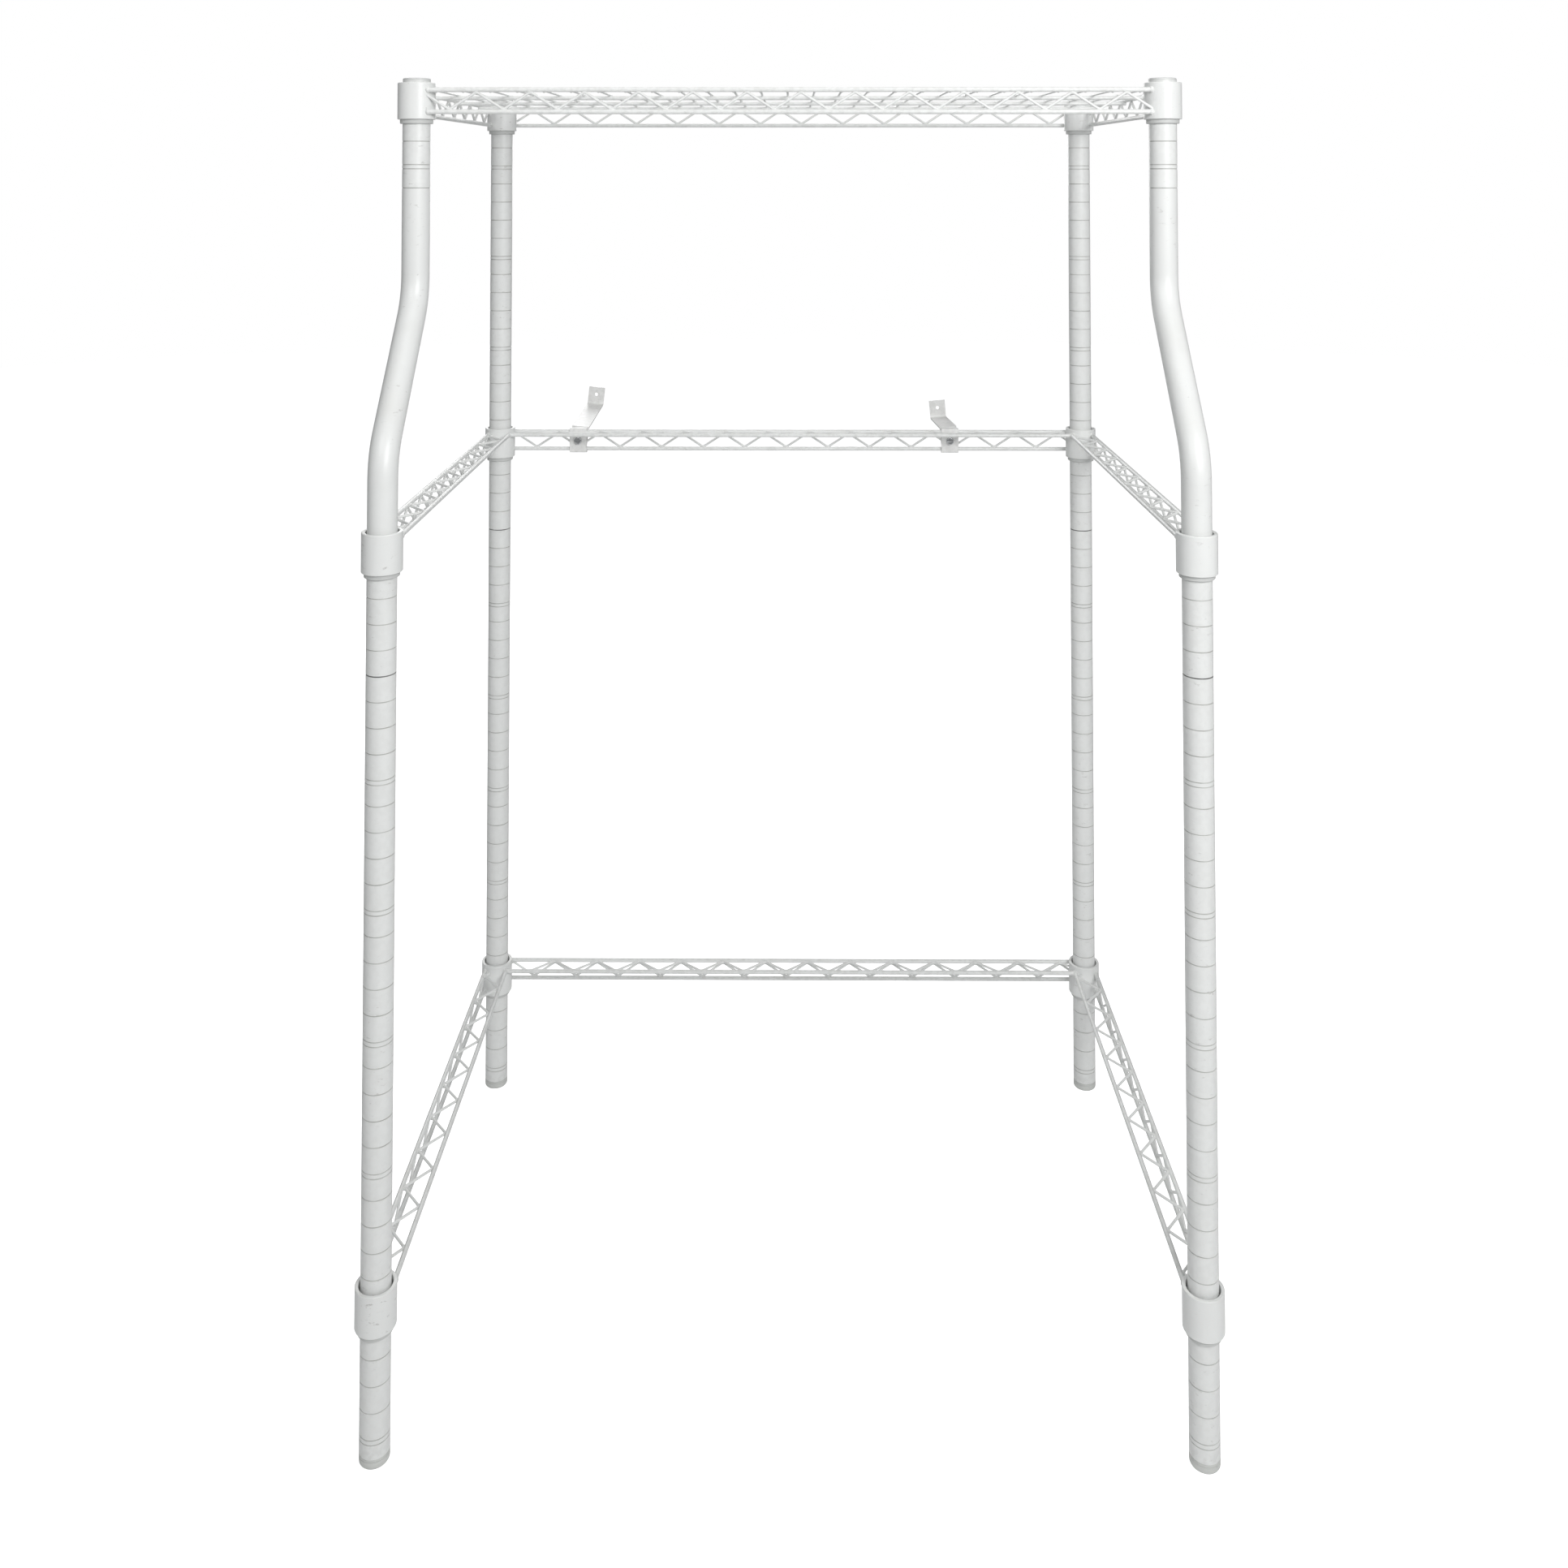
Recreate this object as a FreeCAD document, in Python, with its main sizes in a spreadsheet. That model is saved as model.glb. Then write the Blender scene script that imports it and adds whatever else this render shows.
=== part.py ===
import FreeCAD, Part
import math
import os
import re

import Sketcher

# An over the toilet storage rack made like wire shelving: four grooved two-piece posts, a wire
# shelf on top, and two three-sided wire frames that leave the front open. The front posts bend
# back above the middle frame. Tapered split sleeves hold each frame's collars on the posts.
# +X is to the right seen from the front, +Y to the back, +Z up. The origin is on the floor,
# in the middle of the rack's outline with its wall brackets. Millimetres and degrees.

SIZES = (
    ("width", 816.0, "post centre to post centre, left to right"),
    ("lowerdepth", 584.0, "post centre to post centre, front to back, below the bend"),
    ("setback", 120.0, "how far back the bend carries each front post"),
    ("jointheight", 764.5, "floor to the joint of a post's two sections"),
    ("posttop", 1364.0, "floor to the top end of a post's tube"),
    ("postdiameter", 30.0, "outside of the post tube"),
    ("postwall", 1.5, "wall of the post tube"),
    ("groovepitch", 25.4, "groove to groove up a post"),
    ("groovewidth", 1.1, "height of one groove"),
    ("groovedepth", 0.5, "depth of one groove"),
    ("doublegap", 4.5, "main groove to the second groove of a double mark"),
    ("endmargin", 12.0, "least plain length between the last groove and a tube's end"),
    ("topgrooves", 5.0, "grooves above the bend of a front post"),
    ("bendstart", 955.0, "floor to where a front post starts to bend"),
    ("bendmargin", 50.0, "plain length below the bend"),
    ("bendradius", 70.0, "bend radius on the tube's centre line"),
    ("bendangle", 39.0, "lean of the slanted run from upright"),
    ("fitgap", 0.05, "radial gap between pieces that fit in or on a post"),
    ("joinerlength", 70.0, "plug that joins the two sections of a post"),
    ("footheight", 9.5, "floor to the lower end of the post tube"),
    ("footgap", 0.3, "foot pad to tube end with the foot screwed in"),
    ("foottravel", 12.0, "how far a foot screws out"),
    ("stemdiameter", 9.8, "levelling foot's stem"),
    ("stemgap", 0.1, "radial gap of the stem in its insert"),
    ("insertlength", 28.0, "plug in the tube's end that takes the stem"),
    ("capheight", 3.0, "cap standing above the tube"),
    ("capplug", 14.0, "cap's plug inside the tube"),
    ("capround", 1.6, "rounding of the cap's and foot's edge"),
    ("lowgroove", -25.0, "groove that holds the low frame, counted up from the joint"),
    ("middlegroove", 4.0, "groove that holds the middle frame"),
    ("topgroove", 22.0, "groove that holds the top shelf"),
    ("beadheight", 6.1, "sleeve's lower end to its inner bead"),
    ("beadgap", 0.1, "gap between the bead and the groove"),
    ("sleeveshow", 4.7, "sleeve's foot ring showing below the collar"),
    ("sleeveheight", 38.0, "sleeve's whole height"),
    ("sleevewall", 2.2, "sleeve's wall at the collar's lower end"),
    ("sleevelip", 0.5, "foot ring standing out past the collar's bore"),
    ("sleevetaper", 0.5, "how much thinner the sleeve is at its upper end"),
    ("sleevesplit", 1.2, "gap between the two halves of a sleeve"),
    ("collardiameter", 41.0, "outside of a collar"),
    ("collarheight", 40.0, "height of a collar"),
    ("collarround", 0.9, "rounding of a collar's rims"),
    ("raildiameter", 5.3, "rail wire"),
    ("trussheight", 24.0, "rail centre to rail centre, up"),
    ("railmargin", 8.0, "lower rail's centre above the collar's lower end"),
    ("outeroffset", 13.5, "outer rails outside the post centres"),
    ("inneroffset", 15.0, "inner rails inside the post centres"),
    ("railbite", 0.5, "rail ends stop this far short of the collar's bore"),
    ("zigzagdiameter", 3.0, "zigzag wire"),
    ("zigzagpitch", 58.8, "one wave of the zigzag"),
    ("zigzagbend", 4.5, "bend radius of the zigzag's turns"),
    ("frameshift", -5.5, "rear frame trusses' lower turn, to the right of the middle"),
    ("shelfshift", 16.4, "rear shelf truss's lower turn, to the right of the middle"),
    ("weldsink", 0.8, "how deep welded wires sink into each other"),
    ("deckdiameter", 2.6, "deck wire"),
    ("deckdrop", 0.8, "deck wires' centres below the rails' centres"),
    ("deckmargin", 1.0, "least gap between a deck wire and a collar"),
    ("stringerdiameter", 4.8, "three cross wires under the deck"),
    ("stringerspacing", 142.0, "cross wire to cross wire"),
    ("strapwidth", 24.0, "bracket's strap and plate"),
    ("strapthickness", 2.0, "bracket's sheet steel"),
    ("strapreach", 152.0, "strap's flange face to its tab's far face"),
    ("strapradius", 4.0, "strap's bend radius on its centre line"),
    ("strapfoot", 12.0, "strap's flange below the bolt"),
    ("straprise", 13.0, "flange's straight length above the bolt"),
    ("tabheight", 22.0, "straight length of the strap's tab"),
    ("tabhole", 5.0, "screw hole in the tab"),
    ("leftslope", 3.5, "left strap's rise towards the wall"),
    ("rightslope", -4.5, "right strap's rise towards the wall"),
    ("leftturn", 6.0, "left strap's turn about its bolt, clockwise from the front"),
    ("rightturn", -5.0, "right strap's turn about its bolt"),
    ("leftbay", -5.0, "zigzag wave that takes the left bracket's bolt"),
    ("rightbay", 4.0, "zigzag wave that takes the right bracket's bolt"),
    ("leftslip", 0.0, "left bolt's distance to the right of its wave's lower turn"),
    ("rightslip", -4.0, "right bolt's distance to the right of its wave's lower turn"),
    ("clampgap", 0.3, "gap between the bracket's pieces and what they clamp"),
    ("boltdiameter", 5.0, "bracket bolt"),
    ("boltgap", 0.1, "radial gap of the bolt in the strap and plate"),
    ("headdiameter", 10.5, "bolt's head"),
    ("headheight", 3.6, "bolt's head"),
    ("headround", 1.4, "rounding of the bolt's head"),
    ("slotwidth", 1.4, "driver slot in the bolt's head"),
    ("slotdepth", 1.2, "driver slot in the bolt's head"),
    ("nutwidth", 8.0, "nut across its flats"),
    ("nutheight", 4.0, "nut along the bolt"),
)

# Places and sizes that follow from the ones above, written once and used by name.
DERIVED = {
    "postradius": "postdiameter / 2",
    "boreradius": "postradius - postwall",
    "plugradius": "boreradius - fitgap",
    "collarradius": "collardiameter / 2",
    "railradius": "raildiameter / 2",
    "plateback": "outeroffset + railradius + clampgap",
    "middley": "(collarradius - plateback - strapreach) / 2",
    "fronty": "middley - lowerdepth / 2",
    "reary": "middley + lowerdepth / 2",
    "topfronty": "fronty + setback",
    "rightx": "width / 2",
    "leftx": "-width / 2",
    "lowbase": "jointheight + lowgroove * groovepitch - beadheight",
    "middlebase": "jointheight + middlegroove * groovepitch - beadheight",
    "topbase": "jointheight + topgroove * groovepitch - beadheight",
    "railrise": "sleeveshow + railmargin",
    "lowerlength": "jointheight - footheight",
    "upperlength": "posttop - jointheight",
    "lowercount": "floor((lowerlength - endmargin) / groovepitch)",
    "uppercount": "floor((upperlength - endmargin) / groovepitch)",
    "sleeveinside": "postradius + fitgap",
    "sleeveoutside": "sleeveinside + sleevewall",
    "taperrate": "sleevetaper / (sleeveheight - sleeveshow)",
    "collarbore": "sleeveoutside + fitgap",
    "collarboretop": "collarbore - taperrate * collarheight",
    "outerend": "sqrt(collarbore ^ 2 - (outeroffset - railradius) ^ 2) + railbite",
    "innerend": "sqrt(collarbore ^ 2 - (inneroffset - railradius) ^ 2) + railbite",
    "zigzagradius": "zigzagdiameter / 2",
    "zigzagedge": "railradius + zigzagradius - weldsink",
    "deckradius": "deckdiameter / 2",
    "stringerradius": "stringerdiameter / 2",
    "stringerdrop": "deckdrop + deckradius + stringerradius - weldsink / 2",
    "boltrise": "trussheight / 2",
    "platefront": "outeroffset - railradius - clampgap - strapthickness",
    "platehalf": "trussheight / 2 + railradius + clampgap + strapthickness",
    "leftrun": "strapreach - strapthickness - 2 * strapradius * (1 - sin(leftslope))",
    "rightrun": "strapreach - strapthickness - 2 * strapradius * (1 - sin(rightslope))",
    "lefttabrise": "straprise + 2 * strapradius * cos(leftslope) + leftrun * tan(leftslope)",
    "righttabrise": "straprise + 2 * strapradius * cos(rightslope) + rightrun * tan(rightslope)",
}

CORNERS = {
    "front_left": ("leftx", "fronty", "topfronty"),
    "front_right": ("rightx", "fronty", "topfronty"),
    "rear_left": ("leftx", "reary", "reary"),
    "rear_right": ("rightx", "reary", "reary"),
}
LEVELS = ("low", "middle", "top")
UP = FreeCAD.Vector(0, 0, 1)
TURNS = {
    "up": FreeCAD.Rotation(),
    "right": FreeCAD.Rotation(FreeCAD.Vector(0, 1, 0), 90),
    "back": FreeCAD.Rotation(FreeCAD.Vector(1, 0, 0), -90),
}

document = FreeCAD.newDocument("StorageRack")
sheet = document.addObject("Spreadsheet::Sheet", "Sizes")
for row, (alias, number, meaning) in enumerate(SIZES, start=1):
    sheet.set(f"A{row}", meaning)
    sheet.set(f"B{row}", str(number))
    sheet.setAlias(f"B{row}", alias)
document.recompute()
ALIASES = {alias for alias, number, meaning in SIZES}
subparts = []


def formula(text):
    """Write a formula of size names as FreeCAD reads it, with every name looked up."""
    def expand(match):
        word = match.group()
        if word in DERIVED:
            return "(" + formula(DERIVED[word]) + ")"
        return "Sizes." + word if word in ALIASES else word
    return re.sub(r"[a-z]+", expand, text)


def value(text):
    """The number that a formula of size names gives."""
    number = sheet.evalExpression(formula(text))
    return float(getattr(number, "Value", number))


def bind(target, **bindings):
    """Bind properties of an object to formulas."""
    for name, text in bindings.items():
        target.setExpression(name, formula(text))


def place(target, x="0", y="0", z="0"):
    """Bind an object's position to formulas."""
    for axis, text in (("x", x), ("y", y), ("z", z)):
        target.setExpression(f"Placement.Base.{axis}", formula(text))


def sub_part(target, label):
    """Register an object as one finished sub-part."""
    target.Label = label
    subparts.append(target)
    return target


# ---------------------------------------------------------------- sketch and body helpers

def origin_feature(body, role):
    """One of a body's own origin planes or axes."""
    return next(item for item in body.Origin.OriginFeatures if item.Role == role)


def new_body(name, x="0", y="0", z="0"):
    """A body at a bound position."""
    body = document.addObject("PartDesign::Body", name)
    place(body, x, y, z)
    return body


def new_sketch(body, name, plane):
    """A sketch on one of the body's origin planes."""
    sketch = body.newObject("Sketcher::SketchObject", f"{body.Name}_{name}")
    sketch.AttachmentSupport = (origin_feature(body, plane), [""])
    sketch.MapMode = "FlatFace"
    return sketch


def dimension(sketch, kind, geometry, text):
    """Add a dimension bound to a formula."""
    number = value(text)
    number = math.radians(number) if kind == "Angle" else number
    index = sketch.addConstraint(Sketcher.Constraint(kind, *geometry, number))
    sketch.setExpression(f"Constraints[{index}]", formula(text))


def add_circle(sketch, radius):
    """A circle round the sketch's origin."""
    circle = Part.Circle(FreeCAD.Vector(), UP, value(radius))
    index = sketch.addGeometry(circle)
    sketch.addConstraint(Sketcher.Constraint("Coincident", index, 3, -1, 1))
    dimension(sketch, "Radius", (index,), radius)


def add_outline(sketch, corners):
    """A closed outline of straight lines whose corners are pairs of formulas."""
    points = [FreeCAD.Vector(value(across), value(along), 0) for across, along in corners]
    lines = []
    for start, end in zip(points, points[1:] + points[:1]):
        lines.append(sketch.addGeometry(Part.LineSegment(start, end)))
    for line, following in zip(lines, lines[1:] + lines[:1]):
        sketch.addConstraint(Sketcher.Constraint("Coincident", line, 2, following, 1))
    for line, (across, along) in zip(lines, corners):
        dimension(sketch, "DistanceX", (-1, 1, line, 1), across)
        dimension(sketch, "DistanceY", (-1, 1, line, 1), along)


def add_double_bend(sketch, straight, radius, lean, offset, height=None, last=None):
    """An upright line, a run that leans by an angle, and an upright line offset from the first.

    The last line's end is set by its whole height or by its own length.
    """
    first, bend, turn = value(straight), value(radius), math.radians(value(lean))
    shift = value(offset)
    run = (shift - 2 * bend * (1 - math.cos(turn))) / math.sin(turn)
    heading = FreeCAD.Vector(math.sin(turn), math.cos(turn), 0)
    inward = FreeCAD.Vector(-math.cos(turn), math.sin(turn), 0)
    foot_end = FreeCAD.Vector(0, first, 0)
    lower_centre = foot_end + FreeCAD.Vector(bend, 0, 0)
    run_start = lower_centre + inward * bend
    run_end = run_start + heading * run
    upper_centre = run_end + inward * bend
    upper_start = upper_centre + FreeCAD.Vector(bend, 0, 0)
    end_height = value(height) if height else upper_start.y + value(last)
    upper_end = FreeCAD.Vector(shift, end_height, 0)
    foot = sketch.addGeometry(Part.LineSegment(FreeCAD.Vector(), foot_end))
    lower = sketch.addGeometry(Part.ArcOfCircle(
        Part.Circle(lower_centre, UP, bend), math.pi - turn, math.pi))
    slant = sketch.addGeometry(Part.LineSegment(run_start, run_end))
    upper = sketch.addGeometry(Part.ArcOfCircle(
        Part.Circle(upper_centre, UP, bend), -turn, 0))
    top = sketch.addGeometry(Part.LineSegment(upper_start, upper_end))
    for rule in (
        ("Coincident", foot, 1, -1, 1), ("Vertical", foot), ("Vertical", top),
        ("Tangent", foot, 2, lower, 2), ("Tangent", lower, 1, slant, 1),
        ("Tangent", slant, 2, upper, 1), ("Tangent", upper, 2, top, 1),
        ("Equal", lower, upper),
    ):
        sketch.addConstraint(Sketcher.Constraint(*rule))
    dimension(sketch, "DistanceY", (foot, 1, foot, 2), straight)
    dimension(sketch, "Radius", (lower,), radius)
    dimension(sketch, "Angle", (slant,), f"90 - ({lean})")
    dimension(sketch, "DistanceX", (-1, 1, top, 2), offset)
    if height:
        dimension(sketch, "DistanceY", (-1, 1, top, 2), height)
    else:
        dimension(sketch, "DistanceY", (top, 1, top, 2), last)


def pad(body, name, sketch, length):
    """Pad a sketch upwards."""
    feature = body.newObject("PartDesign::Pad", f"{body.Name}_{name}")
    feature.Profile = sketch
    bind(feature, Length=length)
    document.recompute()
    return feature


def pipe(body, profile, spine):
    """Carry a profile along a sketched path of five edges."""
    document.recompute()
    feature = body.newObject("PartDesign::AdditivePipe", f"{body.Name}_Pipe")
    feature.Profile = profile
    feature.Spine = (spine, [f"Edge{number}" for number in range(1, 6)])
    document.recompute()
    return feature


def revolve(body, sketch, axis, angle="360"):
    """Turn a profile about one of its sketch's axes."""
    feature = body.newObject("PartDesign::Revolution", f"{body.Name}_Turned")
    feature.Profile = sketch
    feature.ReferenceAxis = (sketch, [axis])
    bind(feature, Angle=angle)
    document.recompute()
    return feature


def fillet_circles(body, name, feature, wanted, radius):
    """Round the circular edges of a feature that match pairs of radius and height."""
    edges = []
    targets = [(value(size), value(height)) for size, height in wanted]
    for number, edge in enumerate(feature.Shape.Edges, start=1):
        if not isinstance(edge.Curve, Part.Circle):
            continue
        seen = (edge.Curve.Radius, edge.Curve.Center.z)
        if any(math.dist(seen, target) < value("groovewidth") / 10 for target in targets):
            edges.append(f"Edge{number}")
    if not edges:
        raise RuntimeError(f"no edge to round on {body.Name}")
    rounding = body.newObject("PartDesign::Fillet", f"{body.Name}_{name}")
    rounding.Base = (feature, edges)
    bind(rounding, Radius=radius)
    document.recompute()
    return rounding


# ---------------------------------------------------------------------------------- posts

def cut_grooves(body, name, height, step="0", count="1", across="0"):
    """Cut a row of ring grooves round an upright axis, the first at the given height."""
    sketch = new_sketch(body, name, "YZ_Plane")
    inside = f"({across}) + postradius - groovedepth"
    outside = f"({across}) + postradius + groovedepth"
    bottom = f"({height}) - groovewidth / 2"
    top = f"({height}) + groovewidth / 2"
    add_outline(sketch, ((inside, bottom), (outside, bottom), (outside, top), (inside, top)))
    axis_foot = FreeCAD.Vector(value(across), 0, 0)
    axis_top = FreeCAD.Vector(value(across), value("groovepitch"), 0)
    axis = sketch.addGeometry(Part.LineSegment(axis_foot, axis_top), True)
    sketch.addConstraint(Sketcher.Constraint("Vertical", axis))
    dimension(sketch, "DistanceX", (-1, 1, axis, 1), across)
    sketch.addConstraint(Sketcher.Constraint("PointOnObject", axis, 1, -1))
    dimension(sketch, "DistanceY", (axis, 1, axis, 2), "groovepitch")
    document.recompute()
    before = body.Shape.Volume
    groove = body.newObject("PartDesign::Groove", f"{body.Name}_{name}_Cut")
    groove.Profile = sketch
    groove.ReferenceAxis = (sketch, ["Axis0"])
    groove.Angle = 360
    document.recompute()
    if value(count) > 1:
        row_of_cuts = body.newObject("PartDesign::LinearPattern", f"{body.Name}_{name}_Row")
        row_of_cuts.Originals = [groove]
        row_of_cuts.Direction = (origin_feature(body, "Z_Axis"), [""])
        row_of_cuts.Reversed = value(step) < 0
        bind(row_of_cuts, Length=f"abs({step}) * (({count}) - 1)", Occurrences=count)
        body.Tip = row_of_cuts
        document.recompute()
    if body.Shape.Volume >= before:
        raise RuntimeError(f"{name} cut nothing from {body.Name}")


def tube_section(name, corner, base, length):
    """A straight post section."""
    x, y, top_y = CORNERS[corner]
    body = new_body(f"{corner}_{name}", x, y, base)
    ring = new_sketch(body, "Ring", "XY_Plane")
    add_circle(ring, "postradius")
    add_circle(ring, "boreradius")
    pad(body, "Tube", ring, length)
    return body


def lower_post(corner):
    """A lower section: single grooves down from the joint and a double mark every fifth."""
    body = tube_section("lower_post", corner, "footheight", "lowerlength")
    cut_grooves(body, "Grooves", "lowerlength", "-groovepitch", "lowercount + 1")
    cut_grooves(body, "Marks", "lowerlength - 4 * groovepitch - doublegap",
                "-5 * groovepitch", "floor((lowercount - 4) / 5) + 1")
    return body


def straight_upper_post(corner):
    """A rear post's upper section."""
    body = tube_section("upper_post", corner, "jointheight", "upperlength")
    cut_grooves(body, "Grooves", "0", "groovepitch", "uppercount + 1")
    cut_grooves(body, "Marks", "5 * groovepitch - doublegap",
                "5 * groovepitch", "floor(uppercount / 5)")
    return body


def bent_upper_post(corner):
    """A front post's upper section: grooved at both ends, bent back and forth between."""
    x, y, top_y = CORNERS[corner]
    body = new_body(f"{corner}_upper_post", x, y, "jointheight")
    ring = new_sketch(body, "Ring", "XY_Plane")
    add_circle(ring, "postradius")
    add_circle(ring, "boreradius")
    path = new_sketch(body, "Path", "YZ_Plane")
    add_double_bend(path, "bendstart - jointheight", "bendradius", "bendangle", "setback",
                    height="upperlength")
    pipe(body, ring, path)
    cut_grooves(body, "Grooves", "0", "groovepitch",
                "floor((bendstart - jointheight - bendmargin) / groovepitch) + 1")
    cut_grooves(body, "TopGrooves", "uppercount * groovepitch", "-groovepitch",
                "topgrooves", across="setback")
    cut_grooves(body, "TopMark", "floor(uppercount / 5) * 5 * groovepitch - doublegap",
                across="setback")
    return body


def cylinder(name, radius, length, heading="up", x="0", y="0", z="0"):
    """A cylinder that starts at a bound position and runs up, right or back."""
    solid = document.addObject("Part::Cylinder", name)
    solid.Placement.Rotation = TURNS[heading]
    bind(solid, Radius=radius, Height=length)
    place(solid, x, y, z)
    return solid


def group(label, members):
    """Identical small pieces as one sub-part of separate solids."""
    compound = document.addObject("Part::Compound", f"{label}_group")
    compound.Links = members
    return sub_part(compound, label)


def post_joiner(corner):
    """The plug inside a post that joins its two sections."""
    x, y, top_y = CORNERS[corner]
    return cylinder(f"{corner}_joiner", "plugradius", "joinerlength", "up", x, y,
                    "jointheight - joinerlength / 2")


def foot_insert(corner):
    """The plug in a tube's lower end, bored for the foot's stem."""
    x, y, top_y = CORNERS[corner]
    plug = cylinder(f"{corner}_insert_plug", "plugradius", "insertlength", "up", x, y,
                    "footheight")
    bore = cylinder(f"{corner}_insert_bore", "stemdiameter / 2 + stemgap", "insertlength",
                    "up", x, y, "footheight")
    insert = document.addObject("Part::Cut", f"{corner}_insert")
    insert.Base = plug
    insert.Tool = bore
    return insert


def levelling_foot(corner):
    """A round pad with a stem that screws up into the insert."""
    x, y, top_y = CORNERS[corner]
    body = new_body(f"{corner}_foot", x, y)
    disc = new_sketch(body, "Disc", "XY_Plane")
    add_circle(disc, "postradius")
    pad(body, "Pad", disc, "footheight - footgap")
    stem = new_sketch(body, "Rod", "XY_Plane")
    add_circle(stem, "stemdiameter / 2")
    whole = pad(body, "Stem", stem, "footheight + insertlength - footgap")
    fillet_circles(body, "Round", whole, (("postradius", "0"),), "capround")
    return body


def post_cap(corner):
    """A cap with its plug in the tube's top end."""
    x, y, top_y = CORNERS[corner]
    body = new_body(f"{corner}_cap", x, top_y, "posttop - capplug")
    plug = new_sketch(body, "Round", "XY_Plane")
    add_circle(plug, "plugradius")
    pad(body, "Plug", plug, "capplug + capheight")
    disc = new_sketch(body, "Outline", "XY_Plane")
    disc.AttachmentOffset.Base = FreeCAD.Vector(0, 0, value("capplug"))
    bind(disc, **{"AttachmentOffset.Base.z": "capplug"})
    add_circle(disc, "postradius")
    whole = pad(body, "Disc", disc, "capheight")
    fillet_circles(body, "Edge", whole, (("postradius", "capplug + capheight"),), "capround")
    return body


# ------------------------------------------------------------------- sleeves and collars

def sleeve_half(name, x, y, z, turn):
    """Half of a tapered sleeve, with a foot ring and an inner bead that sits in a groove."""
    body = new_body(name, x, y, z)
    profile = new_sketch(body, "Profile", "XZ_Plane")
    bead = "sleeveinside - groovedepth + beadgap"
    half_bead = "groovewidth / 2 - beadgap"
    ring = "sleeveoutside + sleevelip"
    add_outline(profile, (
        ("sleeveinside", "0"),
        (f"{ring} - sleevelip", "0"),
        (ring, "sleevelip"),
        (ring, "sleeveshow - fitgap"),
        ("sleeveoutside", "sleeveshow - fitgap"),
        ("sleeveoutside - sleevetaper", "sleeveheight"),
        ("sleeveinside", "sleeveheight"),
        ("sleeveinside", f"beadheight + {half_bead}"),
        (bead, f"beadheight + {half_bead}"),
        (bead, f"beadheight - ({half_bead})"),
        ("sleeveinside", f"beadheight - ({half_bead})"),
    ))
    split_angle = "asin(sleevesplit / 2 / sleeveoutside)"
    revolve(body, profile, "V_Axis", f"180 deg - 2 * {split_angle}")
    angle = f"{turn} deg + {split_angle}"
    body.Placement.Rotation = FreeCAD.Rotation(UP, value(angle))
    bind(body, **{"Placement.Rotation.Angle": angle})
    return body


def sleeve(level, corner):
    """The two halves of one sleeve."""
    x, y, top_y = CORNERS[corner]
    post_y = top_y if level == "top" else y
    label = f"{level}_{corner}_sleeve"
    halves = []
    for side, turn in (("back", "0"), ("front", "180")):
        halves.append(sleeve_half(f"{label}_{side}", x, post_y, f"{level}base", turn))
    return group(label, halves)


def collar(level, corner):
    """A collar with a tapered bore that wedges down on its sleeve."""
    x, y, top_y = CORNERS[corner]
    post_y = top_y if level == "top" else y
    label = f"{level}_{corner}_collar"
    body = new_body(label, x, post_y, f"{level}base + sleeveshow")
    profile = new_sketch(body, "Profile", "XZ_Plane")
    add_outline(profile, (
        ("collarbore", "0"),
        ("collarradius", "0"),
        ("collarradius", "collarheight"),
        ("collarboretop", "collarheight"),
    ))
    ring = revolve(body, profile, "V_Axis")
    rims = (("collarradius", "0"), ("collarradius", "collarheight"),
            ("collarboretop", "collarheight"))
    fillet_circles(body, "Rims", ring, rims, "collarround")
    return sub_part(body, label)


# --------------------------------------------------------------------------------- trusses

def zigzag(name, start, end, shift, across):
    """A wire bent in waves between two rails, from one collar to the other.

    The wave lies in the XY plane along X, with its lower turns at shift plus whole pitches
    and its rails at Y 0 and Y across.
    """
    half = value("zigzagpitch") / 2
    bend = value("zigzagbend")
    edge = value("zigzagedge")
    rise = across - 2 * (edge + bend)
    lean = math.atan2(rise, half) + math.asin(2 * bend / math.hypot(rise, half))
    corner_height = bend / math.cos(lean) - bend
    levels = (edge - corner_height, across - edge + corner_height)
    first = math.floor((start - shift) / half)
    last = math.ceil((end - shift) / half)
    turns = [(shift + step * half, levels[step % 2]) for step in range(first, last + 1)]

    def clipped(x, before, after):
        share = (x - before[0]) / (after[0] - before[0])
        return FreeCAD.Vector(x, before[1] + share * (after[1] - before[1]), 0)

    points = [FreeCAD.Vector(x, y, 0) for x, y in turns if start + bend < x < end - bend]
    if turns[1][0] > start + bend:
        points.insert(0, clipped(start, turns[0], turns[1]))
    if turns[-2][0] < end - bend:
        points.append(clipped(end, turns[-2], turns[-1]))
    edges = []
    reached = points[0]
    for before, corner, after in zip(points, points[1:], points[2:]):
        arriving = (corner - before).normalize()
        leaving = (after - corner).normalize()
        half_turn = arriving.getAngle(leaving) / 2
        cut = bend * math.tan(half_turn)
        inward = (leaving - arriving).normalize()
        crown = corner + inward * (bend / math.cos(half_turn) - bend)
        arc_start = corner - arriving * cut
        arc_end = corner + leaving * cut
        edges.append(Part.makeLine(reached, arc_start))
        edges.append(Part.Arc(arc_start, crown, arc_end).toShape())
        reached = arc_end
    edges.append(Part.makeLine(reached, points[-1]))
    path = Part.Wire(edges)
    heading = (points[1] - points[0]).normalize()
    section = Part.Wire([Part.Circle(points[0], heading, value("zigzagradius")).toShape()])
    wire = document.addObject("Part::Feature", name)
    wire.Shape = path.makePipeShell([section], True, False)
    return wire


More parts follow.
